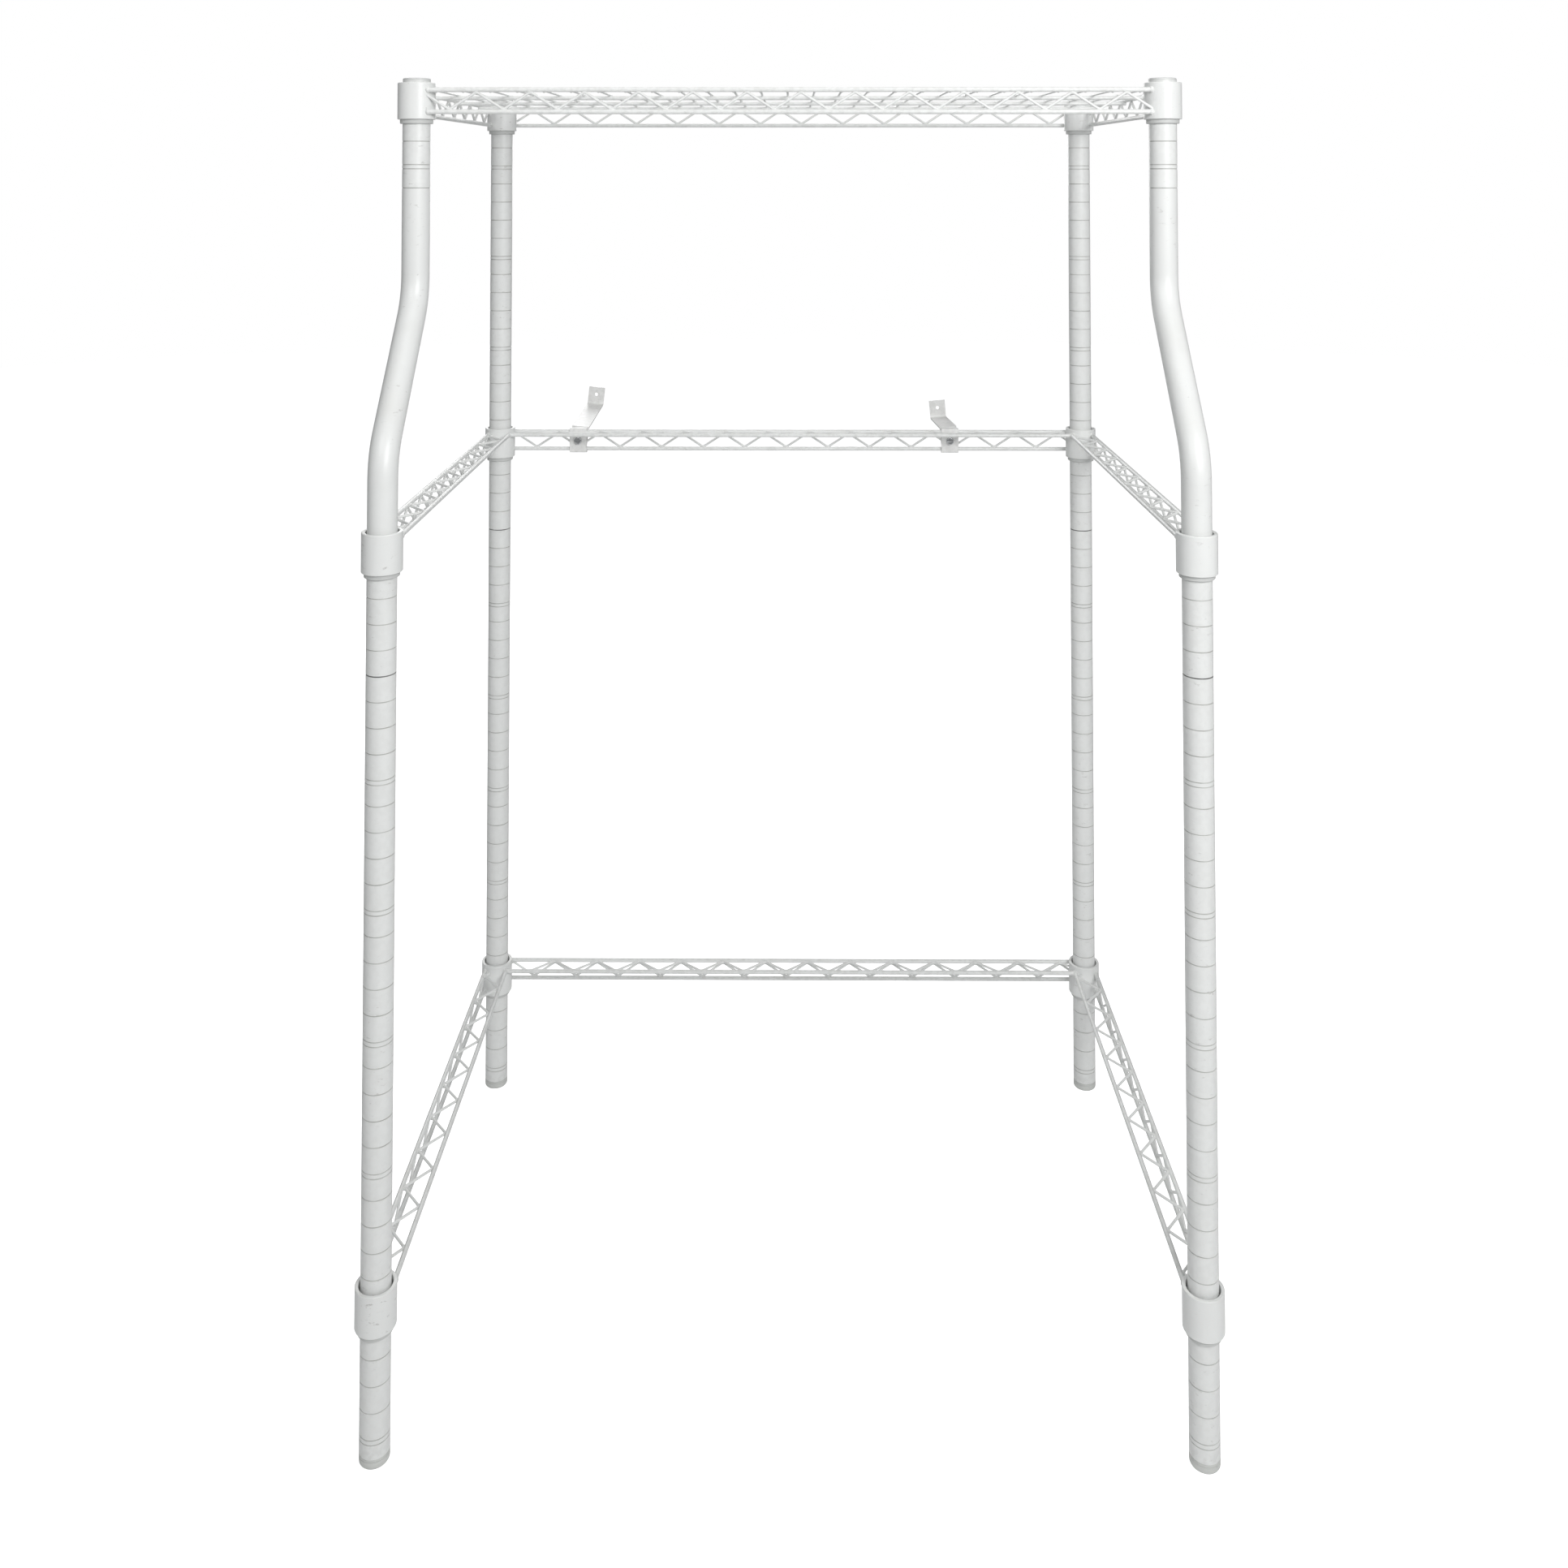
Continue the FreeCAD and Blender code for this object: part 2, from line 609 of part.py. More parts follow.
def lay_zigzag(wire, heading, plane, x, y, z):
    """Turn a zigzag so that its waves run right or back and stand up or lie flat."""
    turn = FreeCAD.Rotation()
    if plane == "upright":
        turn = FreeCAD.Rotation(FreeCAD.Vector(1, 0, 0), 90)
    if heading == "back":
        turn = FreeCAD.Rotation(UP, 90) * turn
    wire.Placement = FreeCAD.Placement(FreeCAD.Vector(value(x), value(y), value(z)), turn)
    return wire


def weld(label, members):
    """Wires welded into one piece."""
    welded = document.addObject("Part::MultiFuse", f"{label}_weld")
    welded.Shapes = members
    return sub_part(welded, label)


def truss(level, side):
    """One side of a frame or shelf.

    Every truss has an upper and a lower rail outside the posts with an upright zigzag between
    them. The three-sided frames' trusses also have an inner rail level with the upper one, and
    a flat zigzag between the two.
    """
    label = f"{level}_{side}_truss"
    front_y = "topfronty" if level == "top" else "fronty"
    bottom = f"{level}base + railrise"
    top = f"{bottom} + trussheight"
    lengthwise = side in ("front", "rear")
    outward = {"front": "-1", "rear": "1", "left": "-1", "right": "1"}[side]
    post_line = {"front": front_y, "rear": "reary", "left": "leftx", "right": "rightx"}[side]
    line = f"{post_line} + ({outward}) * outeroffset"
    inner_line = f"{post_line} - ({outward}) * inneroffset"
    near, far = ("leftx", "rightx") if lengthwise else (front_y, "reary")
    heading = "right" if lengthwise else "back"

    def spot(along, across, height):
        return (along, across, height) if lengthwise else (across, along, height)

    def rail(name, across, height, end):
        return cylinder(f"{label}_{name}", "railradius", f"{far} - {near} - 2 * {end}",
                        heading, *spot(f"{near} + {end}", across, height))

    def wave(name, plane, end, across, height, width):
        shift = f"({near} + {far}) / 2"
        if lengthwise:
            shift = f"({outward}) * shelfshift" if level == "top" else "frameshift"
        wire = zigzag(f"{label}_{name}", value(f"{near} + {end}"), value(f"{far} - {end}"),
                      value(shift), width)
        return lay_zigzag(wire, heading, plane, *spot("0", across, height))

    members = [
        rail("upper", line, top, "outerend"),
        rail("lower", line, bottom, "outerend"),
        wave("upright", "upright", "outerend", line, bottom, value("trussheight")),
    ]
    if level != "top":
        members.append(rail("inner", inner_line, top, "innerend"))
        spread = value("outeroffset + inneroffset")
        low_side = inner_line if (outward == "1") == lengthwise else line
        members.append(wave("flat", "flat", "collarradius - railbite", low_side, top, spread))
    return weld(label, members)


def deck():
    """The top shelf's mat: close wires front to back, welded on three cross wires."""
    height = "topbase + railrise + trussheight"
    spacing = value("zigzagpitch / 2")
    clear = value("width / 2 - collarradius - deckradius - deckmargin")
    start = "zigzagpitch / 4 - shelfshift"
    first = math.ceil((-clear - value(start)) / spacing)
    last = math.floor((clear - value(start)) / spacing)
    members = []
    for step in range(first, last + 1):
        members.append(cylinder(
            f"deck_wire_{step - first}", "deckradius",
            "reary - topfronty + 2 * outeroffset - 2 * zigzagradius", "back",
            f"{start} + ({step}) * zigzagpitch / 2",
            "topfronty - outeroffset + zigzagradius", f"{height} - deckdrop"))
    for step in (-1, 0, 1):
        members.append(cylinder(
            f"deck_stringer_{step + 1}", "stringerradius", "width + 2 * outeroffset", "right",
            "leftx - outeroffset", f"(topfronty + reary) / 2 + ({step}) * stringerspacing",
            f"{height} - stringerdrop"))
    return weld("top_shelf_deck", members)


# ------------------------------------------------------------------------- wall brackets

def bracket_x(side):
    """Where a bracket's bolt passes through the middle rear truss."""
    return f"frameshift + {side}bay * zigzagpitch + {side}slip"


BOLT_HEIGHT = "middlebase + railrise + boltrise"


def strap(side):
    """A strip bent from a flange behind the truss, back to the wall and up into a tab."""
    label = f"{side}_bracket_strap"
    x = bracket_x(side)
    y = "reary + plateback + strapthickness / 2"
    body = new_body(label, x, y, BOLT_HEIGHT)
    strip = new_sketch(body, "Strip", "XY_Plane")
    half_width, half_sheet = "strapwidth / 2", "strapthickness / 2"
    add_outline(strip, (
        (f"-{half_width}", f"-{half_sheet}"), (half_width, f"-{half_sheet}"),
        (half_width, half_sheet), (f"-{half_width}", half_sheet)))
    strip.AttachmentOffset.Base = FreeCAD.Vector(0, 0, -value("strapfoot"))
    bind(strip, **{"AttachmentOffset.Base.z": "-strapfoot"})
    path = new_sketch(body, "Path", "YZ_Plane")
    path.AttachmentOffset.Base = FreeCAD.Vector(0, -value("strapfoot"), 0)
    bind(path, **{"AttachmentOffset.Base.y": "-strapfoot"})
    add_double_bend(path, "strapfoot + straprise", "strapradius", f"90 - {side}slope",
                    "strapreach - strapthickness", last="tabheight")
    pipe(body, strip, path)
    tab_hole = new_sketch(body, "TabHole", "XZ_Plane")
    add_circle(tab_hole, "tabhole / 2")
    hole_height = f"{side}tabrise + tabheight / 2"
    tab_hole.AttachmentOffset.Base = FreeCAD.Vector(0, value(hole_height), 0)
    bind(tab_hole, **{"AttachmentOffset.Base.y": hole_height})
    bolt_hole = new_sketch(body, "BoltHole", "XZ_Plane")
    add_circle(bolt_hole, "boltdiameter / 2 + boltgap")
    for name, outline, reach in (("Tab", tab_hole, "strapreach"),
                                 ("Bolt", bolt_hole, "strapthickness")):
        before = body.Shape.Volume
        cut = body.newObject("PartDesign::Pocket", f"{body.Name}_{name}_Cut")
        cut.Profile = outline
        cut.Midplane = True
        bind(cut, Length=f"2 * ({reach})")
        document.recompute()
        if body.Shape.Volume >= before:
            raise RuntimeError(f"{name} hole cut nothing from {label}")
    body.Placement.Rotation = FreeCAD.Rotation(FreeCAD.Vector(0, 1, 0), value(f"{side}turn"))
    bind(body, **{"Placement.Rotation.Angle": f"{side}turn"})
    return sub_part(body, label)


def clamp_plate(side):
    """A plate in front of the truss, with lips that hook over its upper and lower rails."""
    label = f"{side}_bracket_plate"
    body = new_body(label, bracket_x(side), "reary", BOLT_HEIGHT)
    profile = new_sketch(body, "Profile", "YZ_Plane")
    front, back = "platefront", "platefront + strapthickness"
    lip = "plateback - clampgap"
    reach, inside = "platehalf", "platehalf - strapthickness"
    add_outline(profile, (
        (front, f"-({reach})"), (lip, f"-({reach})"), (lip, f"-({inside})"),
        (back, f"-({inside})"), (back, inside), (lip, inside), (lip, reach), (front, reach)))
    sheet_metal = body.newObject("PartDesign::Pad", f"{body.Name}_Sheet")
    sheet_metal.Profile = profile
    sheet_metal.Midplane = True
    bind(sheet_metal, Length="strapwidth")
    hole = new_sketch(body, "Hole", "XZ_Plane")
    add_circle(hole, "boltdiameter / 2 + boltgap")
    document.recompute()
    before = body.Shape.Volume
    cut = body.newObject("PartDesign::Pocket", f"{body.Name}_Hole_Cut")
    cut.Profile = hole
    cut.Midplane = True
    bind(cut, Length=f"2 * ({back} + strapthickness)")
    document.recompute()
    if body.Shape.Volume >= before:
        raise RuntimeError(f"the hole cut nothing from {label}")
    rounding = body.newObject("PartDesign::Fillet", f"{body.Name}_Bends")
    corners = []
    for number, edge in enumerate(cut.Shape.Edges, start=1):
        along_x = abs(edge.BoundBox.XLength - value("strapwidth")) < value("fitgap")
        in_front = abs(edge.BoundBox.YMin - value(front)) < value("fitgap")
        if along_x and in_front and edge.BoundBox.YLength < value("fitgap"):
            corners.append(f"Edge{number}")
    rounding.Base = (cut, corners)
    bind(rounding, Radius="strapthickness * 0.9")
    document.recompute()
    return sub_part(body, label)


def bolt(side):
    """A slotted bolt whose rounded head bears on the plate."""
    label = f"{side}_bracket_bolt"
    body = new_body(label, bracket_x(side), "reary + platefront", BOLT_HEIGHT)
    body.Placement.Rotation = TURNS["back"]
    round_head = new_sketch(body, "Head", "XY_Plane")
    add_circle(round_head, "headdiameter / 2")
    round_head.AttachmentOffset.Base = FreeCAD.Vector(0, 0, -value("headheight"))
    bind(round_head, **{"AttachmentOffset.Base.z": "-headheight"})
    head = pad(body, "Head_Pad", round_head, "headheight")
    dome = fillet_circles(body, "Dome", head, (("headdiameter / 2", "-headheight"),),
                          "headround")
    rod = new_sketch(body, "Rod", "XY_Plane")
    add_circle(rod, "boltdiameter / 2")
    shank_length = "plateback - platefront + strapthickness + 2 * clampgap + nutheight + 2"
    pad(body, "Shank", rod, shank_length)
    slot = new_sketch(body, "Slot", "XY_Plane")
    slot.AttachmentOffset.Base = FreeCAD.Vector(0, 0, -value("headheight"))
    bind(slot, **{"AttachmentOffset.Base.z": "-headheight"})
    add_outline(slot, (
        ("-headdiameter", "-slotwidth / 2"), ("headdiameter", "-slotwidth / 2"),
        ("headdiameter", "slotwidth / 2"), ("-headdiameter", "slotwidth / 2")))
    document.recompute()
    before = body.Shape.Volume
    cut = body.newObject("PartDesign::Pocket", f"{body.Name}_Slot_Cut")
    cut.Profile = slot
    cut.Reversed = True
    bind(cut, Length="slotdepth")
    document.recompute()
    if body.Shape.Volume >= before:
        raise RuntimeError(f"the slot cut nothing from {label}")
    return sub_part(body, label)


def nut(side):
    """A hexagon nut behind the strap's flange."""
    label = f"{side}_bracket_nut"
    y = "reary + plateback + strapthickness + clampgap"
    block = document.addObject("Part::Prism", f"{label}_block")
    block.Polygon = 6
    block.Placement.Rotation = TURNS["back"]
    bind(block, Circumradius="nutwidth / sqrt(3)", Height="nutheight")
    place(block, bracket_x(side), y, BOLT_HEIGHT)
    bore = cylinder(f"{label}_bore", "boltdiameter / 2", "nutheight", "back",
                    bracket_x(side), y, BOLT_HEIGHT)
    hexagon = document.addObject("Part::Cut", f"{label}_hexagon")
    hexagon.Base = block
    hexagon.Tool = bore
    return sub_part(hexagon, label)


# ---------------------------------------------------------------------------- assembly

for corner_name in CORNERS:
    sub_part(lower_post(corner_name), f"{corner_name}_lower_post")
    upper = bent_upper_post if corner_name.startswith("front") else straight_upper_post
    sub_part(upper(corner_name), f"{corner_name}_upper_post")
    sub_part(levelling_foot(corner_name), f"{corner_name}_foot")
group("post_joiners", [post_joiner(corner_name) for corner_name in CORNERS])
group("foot_inserts", [foot_insert(corner_name) for corner_name in CORNERS])
group("post_caps", [post_cap(corner_name) for corner_name in CORNERS])
for level_name in LEVELS:
    for corner_name in CORNERS:
        sleeve(level_name, corner_name)
        collar(level_name, corner_name)
    for side_name in ("front", "rear", "left", "right"):
        if level_name == "top" or side_name != "front":
            truss(level_name, side_name)
deck()
for side_name in ("left", "right"):
    strap(side_name)
    clamp_plate(side_name)
    bolt(side_name)
    nut(side_name)
document.recompute()

for item in document.Objects:
    if "Invalid" in item.State or "Error" in item.State:
        raise RuntimeError(f"{item.Name} failed: {item.State}")
for item in subparts:
    if item.Shape.isNull() or not item.Shape.isValid():
        raise RuntimeError(f"{item.Label} has no valid shape")

os.makedirs("parts", exist_ok=True)
for item in subparts:
    item.Shape.exportStep(f"parts/{item.Label}.step")
print(len(subparts), "sub-parts written")
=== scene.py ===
"""The looks of an over the toilet storage rack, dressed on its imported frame.

Grooved posts, sleeves and collars, wire frames and the wall brackets keep the frame's own
shapes and get their finishes here. Weld beads, threaded feet and bolt threads are added.
"""
import logging
import math
from collections.abc import Iterable, Sequence
from dataclasses import dataclass
from enum import Enum

import bmesh
import bpy
from mathutils import Matrix, Vector


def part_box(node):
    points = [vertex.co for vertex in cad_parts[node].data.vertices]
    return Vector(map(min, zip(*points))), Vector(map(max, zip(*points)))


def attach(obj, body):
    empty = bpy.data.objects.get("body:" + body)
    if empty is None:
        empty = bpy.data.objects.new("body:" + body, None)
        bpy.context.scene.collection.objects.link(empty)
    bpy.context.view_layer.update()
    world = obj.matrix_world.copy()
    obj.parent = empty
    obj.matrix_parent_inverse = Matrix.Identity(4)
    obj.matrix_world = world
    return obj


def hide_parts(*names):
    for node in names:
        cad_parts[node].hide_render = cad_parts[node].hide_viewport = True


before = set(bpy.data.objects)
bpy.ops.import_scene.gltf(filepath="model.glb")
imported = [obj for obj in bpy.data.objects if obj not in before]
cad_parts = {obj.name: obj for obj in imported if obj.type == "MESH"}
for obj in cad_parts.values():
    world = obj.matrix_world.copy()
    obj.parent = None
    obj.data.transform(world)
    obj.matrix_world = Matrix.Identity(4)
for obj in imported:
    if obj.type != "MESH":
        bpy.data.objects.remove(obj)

log = logging.getLogger("rack")

Colour = tuple[float, float, float]
Point = tuple[float, float, float]
Socket = bpy.types.NodeSocket


class Corner(Enum):
    """The four posts."""

    FRONT_LEFT = "front_left"
    FRONT_RIGHT = "front_right"
    REAR_LEFT = "rear_left"
    REAR_RIGHT = "rear_right"


class Level(Enum):
    """The three heights at which wire work is held on the posts."""

    LOW = "low"
    MIDDLE = "middle"
    TOP = "top"


class Side(Enum):
    """The side of the rack that a truss closes."""

    FRONT = "front"
    REAR = "rear"
    LEFT = "left"
    RIGHT = "right"


# ------------------------------------------------------------------------ shared effects


class GroupBuilder:
    """Builds one shader node group with named sockets."""

    def __init__(self, name: str) -> None:
        """Start an empty group.

        Args:
            name: the group's name.
        """
        self.tree = bpy.data.node_groups.new(name, "ShaderNodeTree")
        self.entry = self.tree.nodes.new("NodeGroupInput")
        self.exit = self.tree.nodes.new("NodeGroupOutput")

    def takes(self, name: str, default: float) -> Socket:
        """Add a number input.

        Args:
            name: the input's name.
            default: its value where a material sets none.

        Returns:
            The socket inside the group that carries it.
        """
        socket = self.tree.interface.new_socket(
            name, in_out="INPUT", socket_type="NodeSocketFloat")
        socket.default_value = default
        return self.entry.outputs[name]

    def gives(self, name: str, source: Socket) -> None:
        """Add a number output.

        Args:
            name: the output's name.
            source: the socket that feeds it.
        """
        self.tree.interface.new_socket(name, in_out="OUTPUT", socket_type="NodeSocketFloat")
        self.tree.links.new(source, self.exit.inputs[name])

    def math(self, operation: str, *values: Socket | float,
             clamp: bool = False) -> Socket:
        """Add a math node.

        Args:
            operation: Blender's name of the operation.
            values: sockets or numbers, in order.
            clamp: whether the result is held between 0 and 1.

        Returns:
            The result's socket.
        """
        node = self.tree.nodes.new("ShaderNodeMath")
        node.operation = operation
        node.use_clamp = clamp
        for index, value in enumerate(values):
            if isinstance(value, (int, float)):
                node.inputs[index].default_value = value
            else:
                self.tree.links.new(value, node.inputs[index])
        return node.outputs[0]

    def noise(self, scale: Socket | float, detail: float,
              roughness: float = 0.5, stretch: Point = (1.0, 1.0, 1.0)) -> Socket:
        """Add noise over the object's own coordinates, in metres.

        Args:
            scale: waves to the metre.
            detail: octaves.
            roughness: how strong the finer octaves are.
            stretch: how much finer the noise is along each axis.

        Returns:
            The noise, from 0 to 1.
        """
        place = self.tree.nodes.new("ShaderNodeTexCoord")
        mapping = self.tree.nodes.new("ShaderNodeMapping")
        mapping.inputs["Scale"].default_value = stretch
        node = self.tree.nodes.new("ShaderNodeTexNoise")
        node.inputs["Detail"].default_value = detail
        node.inputs["Roughness"].default_value = roughness
        self.tree.links.new(place.outputs["Object"], mapping.inputs["Vector"])
        self.tree.links.new(mapping.outputs["Vector"], node.inputs["Vector"])
        if isinstance(scale, (int, float)):
            node.inputs["Scale"].default_value = scale
        else:
            self.tree.links.new(scale, node.inputs["Scale"])
        return node.outputs["Fac"]

    def ramp(self, value: Socket, low: Socket | float,
             high: Socket | float) -> Socket:
        """Rise smoothly from 0 at low to 1 at high.

        Args:
            value: what is read.
            low: where the rise starts.
            high: where it ends.

        Returns:
            The result's socket.
        """
        node = self.tree.nodes.new("ShaderNodeMapRange")
        node.interpolation_type = "SMOOTHSTEP"
        for name, source in (("Value", value), ("From Min", low), ("From Max", high)):
            if isinstance(source, (int, float)):
                node.inputs[name].default_value = source
            else:
                self.tree.links.new(source, node.inputs[name])
        return node.outputs["Result"]


class Effects:
    """The node groups that the finishes share, each built once."""

    def __init__(self) -> None:
        """Build every group."""
        self.peel = self._orange_peel()
        self.rings = self._ring_marks()
        self.scuffs = self._scuffs()
        self.dust = self._dust()
        self.edges = self._edge_wear()

    @staticmethod
    def _orange_peel() -> bpy.types.NodeTree:
        """Baked powder's fine dimples over a slow ripple.

        Returns:
            The node group.
        """
        group = GroupBuilder("orange_peel")
        scale = group.takes("Scale", 900.0)
        fine = group.noise(scale, 2.0, 0.45)
        slow = group.noise(group.math("MULTIPLY", scale, 0.22), 1.0)
        group.gives("Height", group.math("ADD", group.math("MULTIPLY", fine, 0.65),
                                         group.math("MULTIPLY", slow, 0.35)))
        return group.tree

    @staticmethod
    def _ring_marks() -> bpy.types.NodeTree:
        """Level rings at an even spacing up the object, unevenly strong: where shade is painted
        into the grooves and the joint line.

        Returns:
            The node group.
        """
        group = GroupBuilder("ring_marks")
        origin = group.takes("Origin", 0.0)
        spacing = group.takes("Spacing", 0.0254)
        half = group.takes("Half Width", 0.0006)
        bottom = group.takes("Plain From", 9.0)
        top = group.takes("Plain To", 9.1)
        place = group.tree.nodes.new("ShaderNodeTexCoord")
        split = group.tree.nodes.new("ShaderNodeSeparateXYZ")
        group.tree.links.new(place.outputs["Object"], split.inputs[0])
        height = split.outputs["Z"]
        turns = group.math("DIVIDE", group.math("SUBTRACT", height, origin), spacing)
        off = group.math("ABSOLUTE", group.math("SUBTRACT", turns, group.math("ROUND", turns)))
        away = group.math("MULTIPLY", off, spacing)
        core = group.math("MULTIPLY", half, 0.6)
        ring = group.math("SUBTRACT", 1.0, group.ramp(away, core, half))
        plain = group.math("MULTIPLY", group.math("GREATER_THAN", height, bottom),
                           group.math("LESS_THAN", height, top))
        uneven = group.ramp(group.noise(70.0, 3.0), 0.25, 0.75)
        uneven = group.math("ADD", group.math("MULTIPLY", uneven, 0.5), 0.5)
        mask = group.math("MULTIPLY", ring, group.math("SUBTRACT", 1.0, plain))
        group.gives("Mask", group.math("MULTIPLY", mask, uneven, clamp=True))
        return group.tree

    @staticmethod
    def _scuffs() -> bpy.types.NodeTree:
        """Small dark rubs left by hands and by sliding the collars.

        Returns:
            The node group.
        """
        group = GroupBuilder("scuffs")
        scale = group.takes("Scale", 90.0)
        amount = group.takes("Amount", 0.5)
        streak = group.noise(scale, 5.0, 0.62, (1.0, 1.0, 2.4))
        where = group.ramp(group.noise(9.0, 2.0), 0.44, 0.66)
        marks = group.ramp(streak, 0.62, 0.70)
        group.gives("Mask", group.math("MULTIPLY", group.math("MULTIPLY", marks, where), amount,
                                       clamp=True))
        return group.tree

    @staticmethod
    def _dust() -> bpy.types.NodeTree:
        """A thin patchy film, heavier on what faces up.

        Returns:
            The node group.
        """
        group = GroupBuilder("dust")
        amount = group.takes("Amount", 0.3)
        facing = group.tree.nodes.new("ShaderNodeNewGeometry")
        split = group.tree.nodes.new("ShaderNodeSeparateXYZ")
        group.tree.links.new(facing.outputs["Normal"], split.inputs[0])
        upward = group.math("ADD", group.ramp(split.outputs["Z"], 0.2, 0.95), 0.25)
        patches = group.ramp(group.noise(28.0, 4.0), 0.3, 0.75)
        group.gives("Mask", group.math("MULTIPLY", group.math("MULTIPLY", upward, patches), amount,
                                       clamp=True))
        return group.tree

    @staticmethod
    def _edge_wear() -> bpy.types.NodeTree:
        """Sharp outer edges, broken up by noise.

        Returns:
            The node group.
        """
        group = GroupBuilder("edge_wear")
        amount = group.takes("Amount", 0.4)
        shape = group.tree.nodes.new("ShaderNodeNewGeometry")
        edge = group.ramp(shape.outputs["Pointiness"], 0.53, 0.62)
        broken = group.ramp(group.noise(160.0, 3.0), 0.42, 0.62)
        group.gives("Mask", group.math("MULTIPLY", group.math("MULTIPLY", edge, broken), amount,
                                       clamp=True))
        return group.tree


@dataclass(frozen=True)
class MixSockets:
    """The enabled sockets of a colour mix node, by name."""

    inputs: dict[str, Socket]
    outputs: dict[str, Socket]


class MaterialBuilder:
    """Builds one material round a Principled BSDF."""

    def __init__(self, name: str, effects: Effects) -> None:
        """Start a material.

        Args:
            name: the material's name.
            effects: the shared node groups.
        """
        self.material = bpy.data.materials.new(name)
        self.material.use_nodes = True
        self.tree = self.material.node_tree
        self.effects = effects
        self.shader = self.tree.nodes["Principled BSDF"]

    def group(self, group: bpy.types.NodeTree, output: str,
              **values: float) -> Socket:
        """Place a shared effect.

        Args:
            group: the node group.
            output: the output that is wanted.
            values: input values, with _ for a space in a socket's name.

        Returns:
            The output's socket.
        """
        node = self.tree.nodes.new("ShaderNodeGroup")
        node.node_tree = group
        for name, value in values.items():
            node.inputs[name.replace("_", " ")].default_value = value
        return node.outputs[output]

    def mottled(self, colour: Colour, spread: float, scale: float) -> Socket:
        """A colour that drifts slightly over the surface.

        Args:
            colour: linear colour.
            spread: how much darker the dark patches are, as a share.
            scale: patches to the metre.

        Returns:
            The colour's socket.
        """
        place = self.tree.nodes.new("ShaderNodeTexCoord")
        noise = self.tree.nodes.new("ShaderNodeTexNoise")
        noise.inputs["Scale"].default_value = scale
        noise.inputs["Detail"].default_value = 4.0
        self.tree.links.new(place.outputs["Object"], noise.inputs["Vector"])
        mix = self._mix()
        self.tree.links.new(noise.outputs["Fac"], mix.inputs["Factor"])
        mix.inputs["A"].default_value = (*colour, 1.0)
        mix.inputs["B"].default_value = (*(c * (1.0 - spread) for c in colour), 1.0)
        return mix.outputs["Result"]

    def over(self, under: Socket, colour: Colour,
             mask: Socket) -> Socket:
        """Lay a colour over another where a mask says.

        Args:
            under: the colour below.
            colour: the linear colour laid on it.
            mask: where it shows, 0 to 1.

        Returns:
            The mixed colour's socket.
        """
        mix = self._mix()
        self.tree.links.new(mask, mix.inputs["Factor"])
        self.tree.links.new(under, mix.inputs["A"])
        mix.inputs["B"].default_value = (*colour, 1.0)
        return mix.outputs["Result"]

    def _mix(self) -> MixSockets:
        """Add a colour mix node.

        Returns:
            Its enabled sockets: Factor, A, B and Result.
        """
        node = self.tree.nodes.new("ShaderNodeMix")
        node.data_type = "RGBA"
        return MixSockets({s.name: s for s in node.inputs if s.enabled},
                          {s.name: s for s in node.outputs if s.enabled})

    def rough(self, low: float, high: float, mask: Socket) -> None:
        """Drive the roughness from a mask.

        Args:
            low: roughness where the mask is 0.
            high: roughness where it is 1.
            mask: the mask.
        """
        node = self.tree.nodes.new("ShaderNodeMapRange")
        node.inputs["To Min"].default_value = low
        node.inputs["To Max"].default_value = high
        self.tree.links.new(mask, node.inputs["Value"])
        self.tree.links.new(node.outputs["Result"], self.shader.inputs["Roughness"])

    def bump(self, height: Socket, strength: float, distance: float) -> None:
        """Drive the normal from a height.

        Args:
            height: the height map.
            strength: the bump's strength.
            distance: its depth, in metres.
        """
        node = self.tree.nodes.new("ShaderNodeBump")
        node.inputs["Strength"].default_value = strength
        node.inputs["Distance"].default_value = distance
        self.tree.links.new(height, node.inputs["Height"])
        self.tree.links.new(node.outputs["Normal"], self.shader.inputs["Normal"])

    def colour(self, source: Socket) -> None:
        """Feed the base colour."""
        self.tree.links.new(source, self.shader.inputs["Base Color"])


# ------------------------------------------------------------------------------ finishes


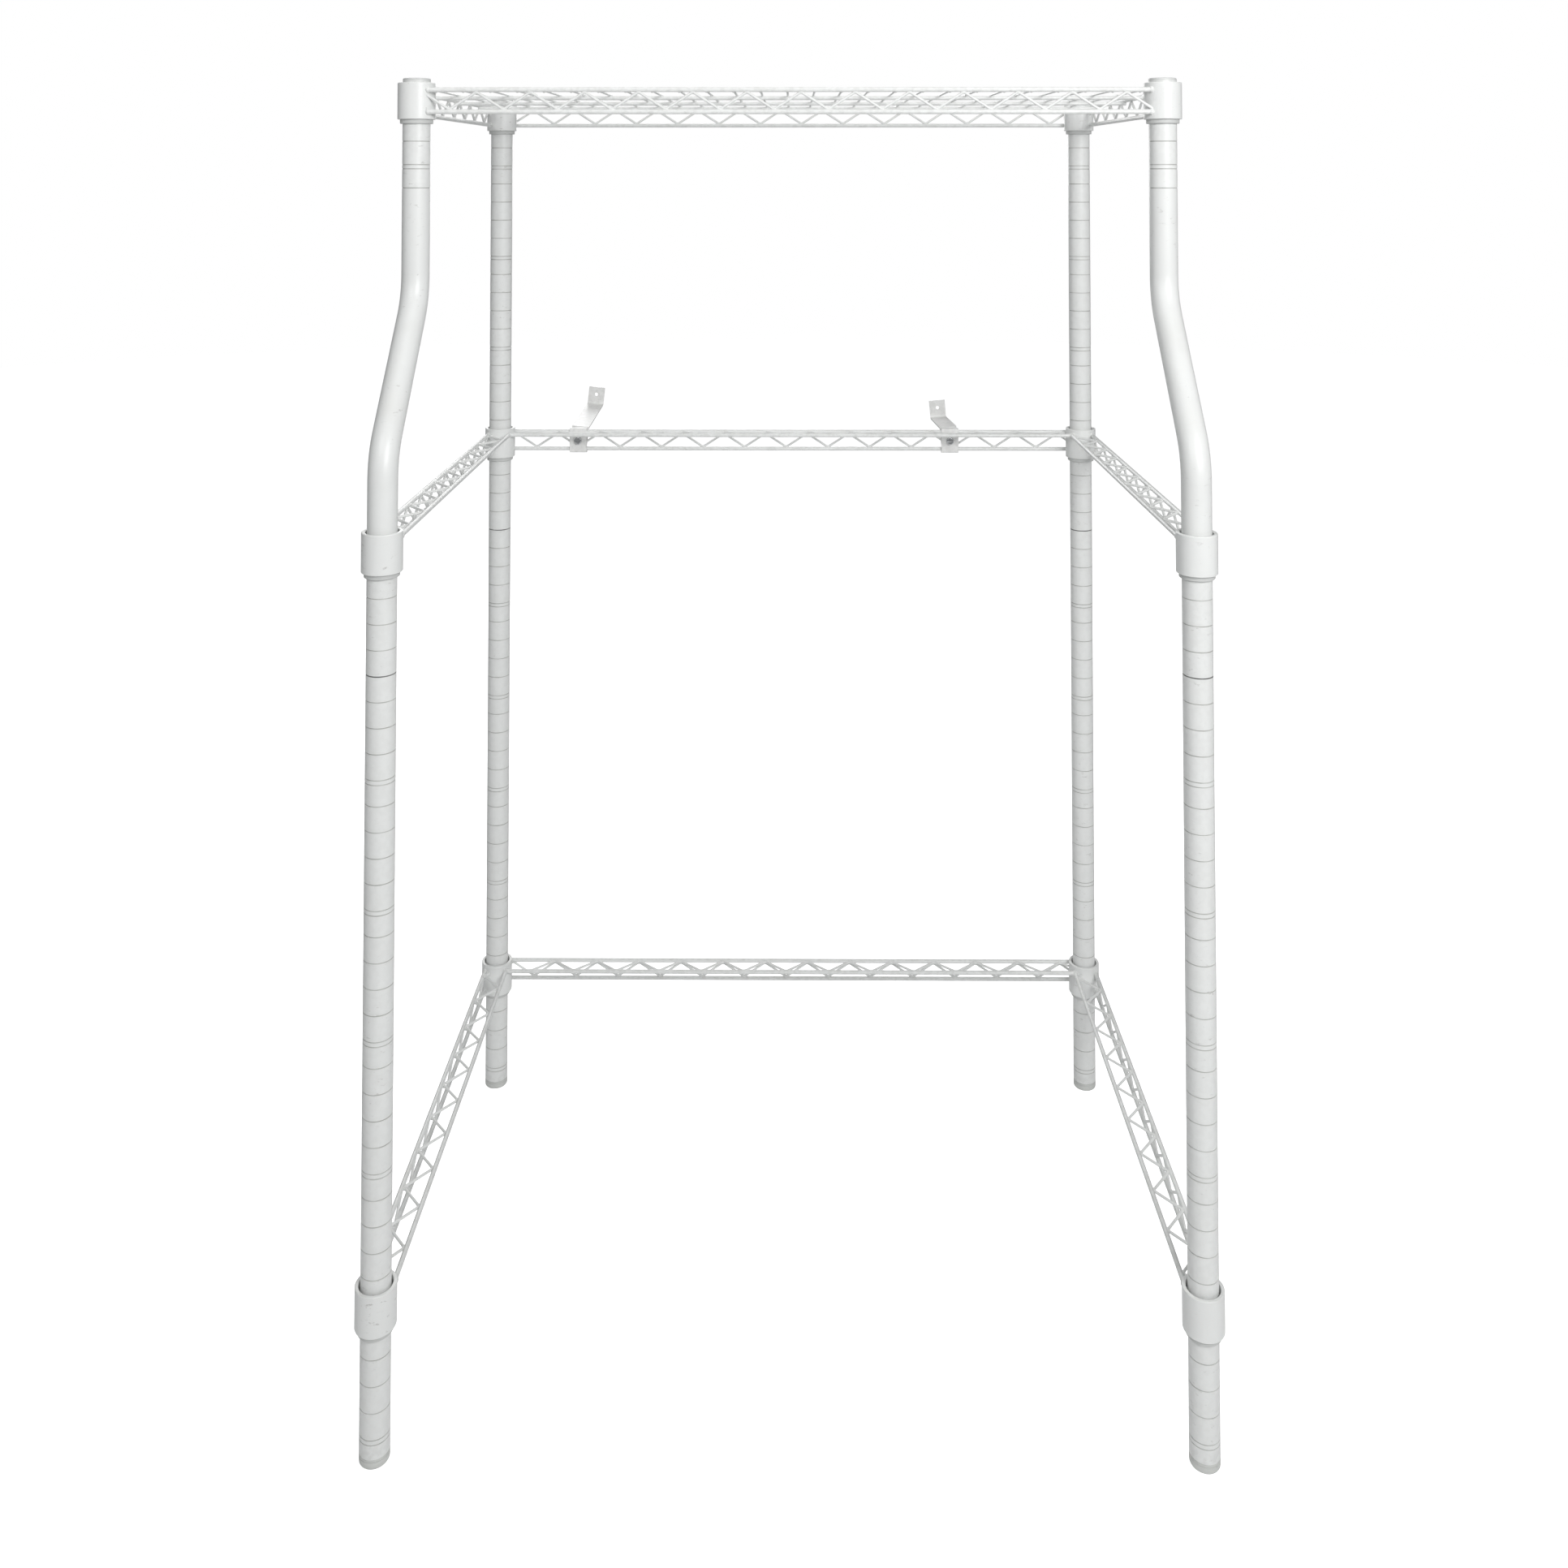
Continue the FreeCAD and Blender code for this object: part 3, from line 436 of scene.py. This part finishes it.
@dataclass(frozen=True)
class PowderCoat:
    """Baked white powder on steel; on grooved posts, shade is painted into the grooves and the
    joint line.
    """

    name: str
    colour: Colour = (0.80, 0.81, 0.80)
    gloss: float = 0.34
    peel: float = 900.0
    scuffs: float = 0.45
    dust: float = 0.25
    grooves: bool = False
    mark_origin: float = 0.0
    plain: tuple[float, float] = (9.0, 9.1)
    joint: float = 0.7645
    groove_spacing: float = 0.0254
    mark_spacing: float = 0.127
    groove_half: float = 0.00062
    seam_half: float = 0.00075
    once: float = 10.0
    dust_tint: Colour = (0.62, 0.61, 0.57)
    worn_tint: Colour = (0.50, 0.50, 0.48)
    scuff_tint: Colour = (0.40, 0.39, 0.37)
    # painted shade for the grooves
    groove_shade: Colour = (0.40, 0.40, 0.38)
    # painted shadow for the joint line between the post sections
    seam: Colour = (0.05, 0.05, 0.048)

    def build(self, effects: Effects) -> bpy.types.Material:
        """Build the material.

        Args:
            effects: the shared node groups.

        Returns:
            The material.
        """
        maker = MaterialBuilder(self.name, effects)
        scuffs = maker.group(effects.scuffs, "Mask", Scale=110.0, Amount=self.scuffs)
        dust = maker.group(effects.dust, "Mask", Amount=self.dust)
        edges = maker.group(effects.edges, "Mask", Amount=0.22)
        colour = maker.mottled(self.colour, 0.045, 22.0)
        colour = maker.over(colour, self.dust_tint, dust)
        colour = maker.over(colour, self.worn_tint, edges)
        colour = maker.over(colour, self.scuff_tint, scuffs)
        if self.grooves:
            low, high = self.plain
            # painted shade: the grooves, the spaced marks and the joint line are darkened where
            # their own shade falls
            for origin, spacing, half, dark in (
                    (self.joint, self.groove_spacing, self.groove_half, self.groove_shade),
                    (self.mark_origin, self.mark_spacing, self.groove_half, self.groove_shade),
                    (self.joint, self.once, self.seam_half, self.seam)):
                ring = maker.group(effects.rings, "Mask", Origin=origin, Spacing=spacing,
                                   Half_Width=half, Plain_From=low, Plain_To=high)
                colour = maker.over(colour, dark, ring)
        maker.colour(colour)
        maker.rough(self.gloss, self.gloss + 0.28, dust)
        maker.bump(maker.group(effects.peel, "Height", Scale=self.peel), 0.22, 0.0004)
        return maker.material


@dataclass(frozen=True)
class MouldedPlastic:
    """Matte moulded plastic with a fine spark-eroded grain."""

    name: str
    colour: Colour
    roughness: float = 0.46
    dust: float = 0.35

    def build(self, effects: Effects) -> bpy.types.Material:
        """Build the material.

        Args:
            effects: the shared node groups.

        Returns:
            The material.
        """
        maker = MaterialBuilder(self.name, effects)
        dust = maker.group(effects.dust, "Mask", Amount=self.dust)
        scuffs = maker.group(effects.scuffs, "Mask", Scale=150.0, Amount=0.35)
        colour = maker.mottled(self.colour, 0.06, 60.0)
        colour = maker.over(colour, tuple(c * 0.72 for c in self.colour), dust)
        colour = maker.over(colour, tuple(c * 0.55 for c in self.colour), scuffs)
        maker.colour(colour)
        maker.rough(self.roughness, self.roughness + 0.25, dust)
        maker.bump(maker.group(effects.peel, "Height", Scale=2600.0), 0.18, 0.0002)
        return maker.material


@dataclass(frozen=True)
class Plating:
    """Bare or plated steel with fine rubs."""

    name: str
    colour: Colour = (0.62, 0.63, 0.64)
    roughness: float = 0.20
    grain: float = 1500.0

    def build(self, effects: Effects) -> bpy.types.Material:
        """Build the material.

        Args:
            effects: the shared node groups.

        Returns:
            The material.
        """
        maker = MaterialBuilder(self.name, effects)
        scuffs = maker.group(effects.scuffs, "Mask", Scale=420.0, Amount=0.8)
        edges = maker.group(effects.edges, "Mask", Amount=0.5)
        colour = maker.mottled(self.colour, 0.12, 180.0)
        colour = maker.over(colour, tuple(min(1.0, c * 1.25) for c in self.colour), edges)
        colour = maker.over(colour, tuple(c * 0.6 for c in self.colour), scuffs)
        maker.colour(colour)
        maker.rough(self.roughness, self.roughness + 0.3, scuffs)
        maker.bump(maker.group(effects.peel, "Height", Scale=self.grain), 0.12, 0.0001)
        maker.shader.inputs["Metallic"].default_value = 1.0
        return maker.material


Finish = PowderCoat | MouldedPlastic | Plating


class Paintshop:
    """Builds each finish once and puts it on the pieces."""

    def __init__(self) -> None:
        """Build the shared effects."""
        self.effects = Effects()
        self.made: dict[str, bpy.types.Material] = {}

    def paint(self, thing: bpy.types.Object, finish: Finish) -> None:
        """Give an object a finish.

        Args:
            thing: the object.
            finish: its finish.
        """
        if finish.name not in self.made:
            self.made[finish.name] = finish.build(self.effects)
        material = self.made[finish.name]
        if not thing.material_slots:
            thing.data.materials.append(material)
        for slot in thing.material_slots:
            slot.material = material

    def paint_nodes(self, names: Iterable[str], finish: Finish) -> None:
        """Give frame nodes a finish.

        Args:
            names: the nodes' names.
            finish: their finish.
        """
        for name in names:
            self.paint(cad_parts[name], finish)


# -------------------------------------------------------------------------- mesh helpers


def centre_of(node: str) -> Vector:
    """The middle of a frame node's box.

    Args:
        node: the node's name.

    Returns:
        The point, in metres.
    """
    low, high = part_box(node)
    return (Vector(low) + Vector(high)) / 2


def finish_mesh(name: str, form: bmesh.types.BMesh) -> bpy.types.Object:
    """Turn a bmesh into a smooth object in the scene.

    Args:
        name: the object's name.
        form: the mesh, which is freed.

    Returns:
        The object.
    """
    bmesh.ops.recalc_face_normals(form, faces=form.faces)
    mesh = bpy.data.meshes.new(name)
    form.to_mesh(mesh)
    form.free()
    mesh.shade_smooth()
    thing = bpy.data.objects.new(name, mesh)
    bpy.context.scene.collection.objects.link(thing)
    return thing


def add_bead(form: bmesh.types.BMesh, at: Point, radii: Point, seed: float) -> None:
    """Add one lumpy weld bead.

    Args:
        form: the mesh it joins.
        at: its middle.
        radii: its half sizes along X, Y and Z.
        seed: changes its lumps.
    """
    made = bmesh.ops.create_icosphere(form, subdivisions=2, radius=1.0)
    for vertex in made["verts"]:
        out = vertex.co.normalized()
        lump = 1.0 + 0.09 * math.sin(3.1 * out.x + 5.3 * out.y + seed) * math.cos(
            4.7 * out.z + 1.7 * seed)
        vertex.co = Vector(tuple(a + o * r * lump for a, o, r in zip(at, out, radii)))


def add_threaded_rod(form: bmesh.types.BMesh, axis: Matrix, start: float, end: float,
                     root: float, crest: float, pitch: float, sides: int = 28) -> None:
    """Add a rod with a helical thread, closed at both ends.

    Args:
        form: the mesh it joins.
        axis: takes the rod's own Z axis to its place.
        start: where it starts along its axis.
        end: where it ends.
        root: the radius at the thread's root.
        crest: the radius at its crest.
        pitch: thread to thread.
        sides: points round it.
    """
    rows = max(4, round((end - start) / pitch * 6))
    rings: list[list[bmesh.types.BMVert]] = []
    for row in range(rows + 1):
        height = start + (end - start) * row / rows
        ring = []
        for side in range(sides):
            turn = math.tau * side / sides
            wave = abs(((height / pitch - side / sides) % 1.0) * 2.0 - 1.0)
            fade = min(1.0, (end - height) / pitch, (height - start) / pitch)
            radius = root + (crest - root) * wave * max(0.0, fade)
            ring.append(form.verts.new(
                axis @ Vector((radius * math.cos(turn), radius * math.sin(turn), height))))
        rings.append(ring)
    for below, above in zip(rings, rings[1:]):
        for side in range(sides):
            after = (side + 1) % sides
            form.faces.new((below[side], below[after], above[after], above[side]))
    form.faces.new(list(reversed(rings[0])))
    form.faces.new(rings[-1])


def add_turned(form: bmesh.types.BMesh, centre: Point, profile: Sequence[tuple[float, float]],
               sides: int = 56) -> None:
    """Add a shape turned about an upright axis.

    Args:
        form: the mesh it joins.
        centre: a point on the axis, from which heights count.
        profile: (radius, height) points from the bottom middle to the top middle.
        sides: points round it.
    """
    rings = []
    for radius, height in profile:
        rings.append([form.verts.new((
            centre[0] + radius * math.cos(math.tau * side / sides),
            centre[1] + radius * math.sin(math.tau * side / sides),
            centre[2] + height)) for side in range(sides)])
    for below, above in zip(rings, rings[1:]):
        for side in range(sides):
            after = (side + 1) % sides
            form.faces.new((below[side], below[after], above[after], above[side]))
    form.faces.new(list(reversed(rings[0])))
    form.faces.new(rings[-1])


# ------------------------------------------------------------------------- sub-assemblies


@dataclass
class Posts:
    """The grooved posts, the plugs inside them and their caps."""

    joint: float = 0.7645
    bend_from: float = 0.90
    bend_to: float = 1.24

    def dress(self, shop: Paintshop) -> None:
        """Paint the post sections, caps and plugs.

        Args:
            shop: where the finishes come from.
        """
        lower = PowderCoat("post_coat_lower", grooves=True, joint=self.joint,
                           mark_origin=self.joint - 0.1061)
        upper = PowderCoat("post_coat_upper", grooves=True, joint=self.joint,
                           mark_origin=self.joint - 0.0045)
        bent = PowderCoat("post_coat_bent", grooves=True, joint=self.joint,
                          mark_origin=self.joint - 0.0045,
                          plain=(self.bend_from, self.bend_to))
        shop.paint_nodes((f"{c.value}_lower_post" for c in Corner), lower)
        for corner in Corner:
            coat = bent if corner in (Corner.FRONT_LEFT, Corner.FRONT_RIGHT) else upper
            shop.paint_nodes([f"{corner.value}_upper_post"], coat)
        shop.paint_nodes(["post_caps"], MouldedPlastic("cap_plastic", (0.66, 0.67, 0.66)))
        shop.paint_nodes(["post_joiners"], Plating("plain_steel", (0.42, 0.42, 0.43), 0.38))
        shop.paint_nodes(["foot_inserts"], MouldedPlastic("insert_plastic", (0.10, 0.10, 0.10)))
        log.info("posts, caps and plugs dressed")


@dataclass
class Clamps:
    """The tapered sleeves and the collars wedged on them."""

    def dress(self, shop: Paintshop) -> None:
        """Paint sleeves and collars.

        Args:
            shop: where the finishes come from.
        """
        places = [f"{level.value}_{corner.value}" for level in Level for corner in Corner]
        sleeve = MouldedPlastic("sleeve_plastic", (0.60, 0.61, 0.60), 0.5)
        collar = PowderCoat("collar_coat", colour=(0.81, 0.82, 0.81), gloss=0.30, scuffs=0.7)
        shop.paint_nodes((f"{p}_sleeve" for p in places), sleeve)
        shop.paint_nodes((f"{p}_collar" for p in places), collar)
        log.info("%d sleeves and collars dressed", len(places))


@dataclass
class WireWork:
    """The trusses, with a bead at every weld."""

    rail: float = 0.00265
    height: float = 0.024
    margin: float = 0.008
    outer: float = 0.0135
    inner: float = 0.015
    pitch: float = 0.0588
    frame_shift: float = -0.0055
    shelf_shift: float = 0.0164
    collar: float = 0.0205
    coat: PowderCoat = PowderCoat("wire_coat", colour=(0.80, 0.81, 0.80), gloss=0.32,
                                  peel=1300.0, scuffs=0.3)

    def sides(self, level: Level) -> list[Side]:
        """The sides that a level closes; the frames are open at the front."""
        return [side for side in Side if level is Level.TOP or side is not Side.FRONT]

    def posts(self, level: Level) -> tuple[float, float, float, float]:
        """Where a level's posts stand.

        Args:
            level: the level.

        Returns:
            Left x, right x, front y and rear y.
        """
        near = centre_of(f"{level.value}_front_left_collar")
        far = centre_of(f"{level.value}_rear_right_collar")
        return near.x, far.x, near.y, far.y

    def crowns(self, shift: float, near: float, far: float) -> list[tuple[float, bool]]:
        """Where a zigzag turns clear of the collars.

        Args:
            shift: where one lower turn is.
            near: the nearer post's place along the truss.
            far: the farther post's place.

        Returns:
            (place along the truss, whether it is an upper turn) for each turn.
        """
        half = self.pitch / 2
        first = math.ceil((near + self.collar + 0.002 - shift) / half)
        last = math.floor((far - self.collar - 0.002 - shift) / half)
        return [(shift + step * half, bool(step % 2)) for step in range(first, last + 1)]

    def weld_truss(self, level: Level, side: Side) -> bpy.types.Object:
        """Make the beads of one truss.

        Args:
            level: the truss's level.
            side: the truss's side.

        Returns:
            One object with all the beads.
        """
        left, right, front, rear = self.posts(level)
        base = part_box(f"{level.value}_front_left_collar")[0][2] + self.margin
        lengthwise = side in (Side.FRONT, Side.REAR)
        outward = 1.0 if side in (Side.REAR, Side.RIGHT) else -1.0
        post = {Side.FRONT: front, Side.REAR: rear, Side.LEFT: left, Side.RIGHT: right}[side]
        near, far = (left, right) if lengthwise else (front, rear)
        line, inside = post + outward * self.outer, post - outward * self.inner
        shift = (near + far) / 2
        if lengthwise:
            shift = outward * self.shelf_shift if level is Level.TOP else self.frame_shift
        form = bmesh.new()

        def bead(along: float, across: float, up: float, size: Point) -> None:
            """Add a bead given along and across the truss."""
            at = (along, across, up) if lengthwise else (across, along, up)
            radii = size if lengthwise else (size[1], size[0], size[2])
            add_bead(form, at, radii, 17.0 * along + 31.0 * up + across)

        for along, upper in self.crowns(shift, near, far):
            up = base + self.height - self.rail if upper else base + self.rail
            bead(along, line, up, (0.0040, 0.0019, 0.0013))
            if level is not Level.TOP:
                starts_inside = (outward > 0) == lengthwise
                rail = line if starts_inside == upper else inside
                toward = (inside + line) / 2 - rail
                step = math.copysign(self.rail, toward)
                bead(along, rail + step, base + self.height, (0.0040, 0.0013, 0.0019))
        ends = [(line, base), (line, base + self.height)]
        if level is not Level.TOP:
            ends.append((inside, base + self.height))
        for across, up in ends:
            reach = math.sqrt(self.collar ** 2 - (across - post) ** 2)
            for place in (near + reach, far - reach):
                bead(place, across, up, (0.0030, 0.0037, 0.0037))
        return finish_mesh(f"{level.value}_{side.value}_welds", form)

    def dress(self, shop: Paintshop) -> None:
        """Paint the trusses and add their beads.

        Args:
            shop: where the finishes come from.
        """
        for level in Level:
            for side in self.sides(level):
                shop.paint_nodes([f"{level.value}_{side.value}_truss"], self.coat)
                welds = self.weld_truss(level, side)
                shop.paint(welds, self.coat)
                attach(welds, "frame")
                log.info("%s: %d points", welds.name, len(welds.data.vertices))


@dataclass
class TopMat:
    """The top shelf's close wires and the beads that hold them."""

    wires: WireWork
    wire: float = 0.0013
    drop: float = 0.0008
    cross: float = 0.0024
    cross_spacing: float = 0.142
    gap: float = 0.001

    def wire_places(self) -> list[float]:
        """The x of each front to back wire."""
        left, right, _, _ = self.wires.posts(Level.TOP)
        start = self.wires.pitch / 4 - self.wires.shelf_shift
        spacing = self.wires.pitch / 2
        clear = (right - left) / 2 - self.wires.collar - self.wire - self.gap
        first = math.ceil((-clear - start) / spacing)
        last = math.floor((clear - start) / spacing)
        return [start + step * spacing for step in range(first, last + 1)]

    def weld(self) -> bpy.types.Object:
        """Make the beads at the cross wires and under the rails.

        Returns:
            One object with all the beads.
        """
        _, _, front, rear = self.wires.posts(Level.TOP)
        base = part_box("top_front_left_collar")[0][2] + self.wires.margin + self.wires.height
        form = bmesh.new()
        for x in self.wire_places():
            for step in (-1, 0, 1):
                y = (front + rear) / 2 + step * self.cross_spacing
                add_bead(form, (x, y, base - self.drop - self.wire), (0.0021, 0.0026, 0.0011),
                         x * 40 + step)
            for rail, inward in ((front - self.wires.outer, 1), (rear + self.wires.outer, -1)):
                add_bead(form, (x, rail + inward * 0.0018, base - 0.0018),
                         (0.0019, 0.0019, 0.0016), x * 60)
        return finish_mesh("top_mat_welds", form)

    def dress(self, shop: Paintshop) -> None:
        """Paint the mat and add its beads.

        Args:
            shop: where the finishes come from.
        """
        shop.paint_nodes(["top_shelf_deck"], self.wires.coat)
        welds = self.weld()
        shop.paint(welds, self.wires.coat)
        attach(welds, "frame")
        log.info("%s: %d points", welds.name, len(welds.data.vertices))


@dataclass
class LevellingFeet:
    """Moulded pads on threaded stems that screw into the posts."""

    pad: float = 0.0092
    stem: float = 0.0049
    root: float = 0.0043
    length: float = 0.0372
    pitch: float = 0.0015

    def build(self, corner: Corner) -> bpy.types.Object:
        """Make one foot where its frame node stands.

        Args:
            corner: the post it levels.

        Returns:
            The foot.
        """
        node = f"{corner.value}_foot"
        low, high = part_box(node)
        middle = centre_of(node)
        at = (middle.x, middle.y, 0.0)
        r, top = (high[0] - low[0]) / 2, self.pad
        form = bmesh.new()
        add_turned(form, at, (
            (r - 0.0040, 0.0004), (r - 0.0034, 0.0), (r - 0.0016, 0.0), (r - 0.0006, 0.0004),
            (r - 0.0001, 0.0012), (r, 0.0020), (r, 0.0062), (r - 0.0003, 0.0064),
            (r - 0.0003, 0.0067), (r, 0.0069), (r, top - 0.0014), (r - 0.0004, top - 0.0004),
            (r - 0.0012, top), (self.stem + 0.0012, top)))
        add_threaded_rod(form, Matrix.Translation(at), top - 0.0004, self.length, self.root,
                         self.stem, self.pitch)
        return finish_mesh(f"{corner.value}_threaded_foot", form)

    def dress(self, shop: Paintshop) -> None:
        """Replace the four plain feet.

        Args:
            shop: where the finish comes from.
        """
        finish = MouldedPlastic("foot_plastic", (0.62, 0.63, 0.61), 0.5)
        for corner in Corner:
            foot = self.build(corner)
            shop.paint(foot, finish)
            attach(foot, f"{corner.value}_leveller")
            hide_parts(f"{corner.value}_foot")
            log.info("%s: %d points", foot.name, len(foot.data.vertices))


@dataclass
class WallBrackets:
    """The two straps that hold the rack to the wall, each clamped by a slotted bolt."""

    shank: float = 0.0025
    crest: float = 0.0026
    root: float = 0.0024
    pitch: float = 0.0008
    finish: Plating = Plating("bright_plating")

    def thread(self, side: Side) -> bpy.types.Object:
        """Make the thread on the bolt's end beyond its nut.

        Args:
            side: which bracket.

        Returns:
            The thread.
        """
        bolt_low, bolt_high = (Vector(v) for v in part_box(f"{side.value}_bracket_bolt"))
        nut_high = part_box(f"{side.value}_bracket_nut")[1][1]
        axis = Matrix.Translation(((bolt_low.x + bolt_high.x) / 2, 0.0,
                                   (bolt_low.z + bolt_high.z) / 2)) @ Matrix.Rotation(
            -math.pi / 2, 4, "X")
        form = bmesh.new()
        add_threaded_rod(form, axis, nut_high, bolt_high.y, self.root, self.crest, self.pitch, 24)
        return finish_mesh(f"{side.value}_bolt_thread", form)

    def dress(self, shop: Paintshop) -> None:
        """Paint the brackets and add the bolt threads.

        Args:
            shop: where the finishes come from.
        """
        coat = PowderCoat("bracket_coat", colour=(0.82, 0.82, 0.81), gloss=0.34, scuffs=0.4)
        for side in (Side.LEFT, Side.RIGHT):
            name = side.value
            shop.paint_nodes([f"{name}_bracket_strap", f"{name}_bracket_plate"], coat)
            shop.paint_nodes([f"{name}_bracket_bolt", f"{name}_bracket_nut"], self.finish)
            thread = self.thread(side)
            shop.paint(thread, self.finish)
            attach(thread, f"{name}_clamp")
            log.info("%s: %d points", thread.name, len(thread.data.vertices))


# --------------------------------------------------------------------------------- studio


@dataclass
class Studio:
    """A pale floor, a white surround, soft lights and the camera."""

    floor_size: float = 9.0
    surround: float = 1.0
    fill: float = 0.22
    eye: Point = (0.0042, -1.8234, 1.2664)
    pitch: float = 0.0304
    roll: float = 0.0062
    lens: float = 33.13
    rise: float = -0.4194

    def floor(self) -> bpy.types.Object:
        """Make the floor, a round sheet with a slightly uneven matte surface.

        Returns:
            The floor.
        """
        form = bmesh.new()
        bmesh.ops.create_circle(form, cap_ends=True, segments=96, radius=self.floor_size)
        floor = finish_mesh("studio_floor", form)
        floor.location.z = -0.0002
        paint = bpy.data.materials.new("floor_paint")
        paint.use_nodes = True
        tree = paint.node_tree
        shader = tree.nodes["Principled BSDF"]
        noise = tree.nodes.new("ShaderNodeTexNoise")
        noise.inputs["Scale"].default_value = 3.0
        ramp = tree.nodes.new("ShaderNodeMapRange")
        ramp.inputs["To Min"].default_value = 0.62
        ramp.inputs["To Max"].default_value = 0.72
        tree.links.new(noise.outputs["Fac"], ramp.inputs["Value"])
        tree.links.new(ramp.outputs["Result"], shader.inputs["Roughness"])
        shader.inputs["Base Color"].default_value = (0.9, 0.9, 0.9, 1.0)
        path = tree.nodes.new("ShaderNodeLightPath")
        glow = tree.nodes.new("ShaderNodeMapRange")
        glow.inputs["To Min"].default_value = 0.0
        glow.inputs["To Max"].default_value = 0.85
        tree.links.new(path.outputs["Is Camera Ray"], glow.inputs["Value"])
        tree.links.new(glow.outputs["Result"], shader.inputs["Emission Color"])
        shader.inputs["Emission Strength"].default_value = 1.0
        floor.data.materials.append(paint)
        return floor

    def world(self) -> None:
        """Surround the rack with white that lights it more softly than it looks."""
        world = bpy.data.worlds.new("studio")
        bpy.context.scene.world = world
        world.use_nodes = True
        tree = world.node_tree
        tree.nodes.clear()
        seen, lit = (tree.nodes.new("ShaderNodeBackground") for _ in range(2))
        seen.inputs["Strength"].default_value = self.surround
        seen.inputs["Color"].default_value = (1.0, 1.0, 1.0, 1.0)
        lit.inputs["Strength"].default_value = self.fill
        lit.inputs["Color"].default_value = (0.97, 0.99, 1.0, 1.0)
        path = tree.nodes.new("ShaderNodeLightPath")
        mix = tree.nodes.new("ShaderNodeMixShader")
        out = tree.nodes.new("ShaderNodeOutputWorld")
        tree.links.new(path.outputs["Is Camera Ray"], mix.inputs[0])
        tree.links.new(lit.outputs[0], mix.inputs[1])
        tree.links.new(seen.outputs[0], mix.inputs[2])
        tree.links.new(mix.outputs[0], out.inputs["Surface"])

    @staticmethod
    def softbox(name: str, at: Point, aim: Point, size: float, power: float) -> None:
        """Hang one square soft light.

        Args:
            name: its name.
            at: where it hangs.
            aim: what it faces.
            size: its side.
            power: its power, in watts.
        """
        lamp = bpy.data.lights.new(name, "AREA")
        lamp.shape = "SQUARE"
        lamp.size = size
        lamp.energy = power
        holder = bpy.data.objects.new(name, lamp)
        holder.location = at
        holder.rotation_euler = (Vector(aim) - Vector(at)).to_track_quat("-Z", "Y").to_euler()
        bpy.context.scene.collection.objects.link(holder)

    def lights(self) -> None:
        """Hang a key at the front right, a weaker fill at the left, a top and a back light."""
        self.softbox("key", (1.0, -2.1, 1.9), (0.3, -0.3, 0.9), 1.0, 37.0)
        self.softbox("side", (-0.9, -1.8, 2.2), (-0.3, -0.3, 1.1), 1.0, 9.5)
        self.softbox("back", (-0.5, 2.6, 1.9), (0.0, 0.0, 0.8), 1.6, 26.0)
        self.softbox("top", (0.0, -0.4, 3.0), (0.0, -0.1, 0.7), 1.4, 9.0)

    def camera(self) -> None:
        """Set up the camera, level with the upper frame and shifted down to the feet."""
        lens = bpy.data.cameras.new("camera")
        lens.lens = self.lens
        lens.sensor_width = 36.0
        lens.shift_y = self.rise
        holder = bpy.data.objects.new("camera", lens)
        holder.location = self.eye
        holder.rotation_euler = (math.pi / 2 + self.pitch, 0.0, self.roll)
        bpy.context.scene.collection.objects.link(holder)
        bpy.context.scene.camera = holder

    def build(self) -> None:
        """Set up everything round the rack."""
        self.floor()
        self.world()
        self.lights()
        self.camera()
        bpy.context.scene.view_settings.view_transform = "Standard"
        log.info("studio ready")


def main() -> None:
    """Build and dress every sub-assembly, then the studio."""
    logging.basicConfig(level=logging.INFO, format="%(message)s")
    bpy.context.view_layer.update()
    shop = Paintshop()
    wires = WireWork()
    for assembly in (Posts(), Clamps(), wires, TopMat(wires), LevellingFeet(), WallBrackets()):
        assembly.dress(shop)
    Studio().build()


if __name__ == "__main__":
    main()
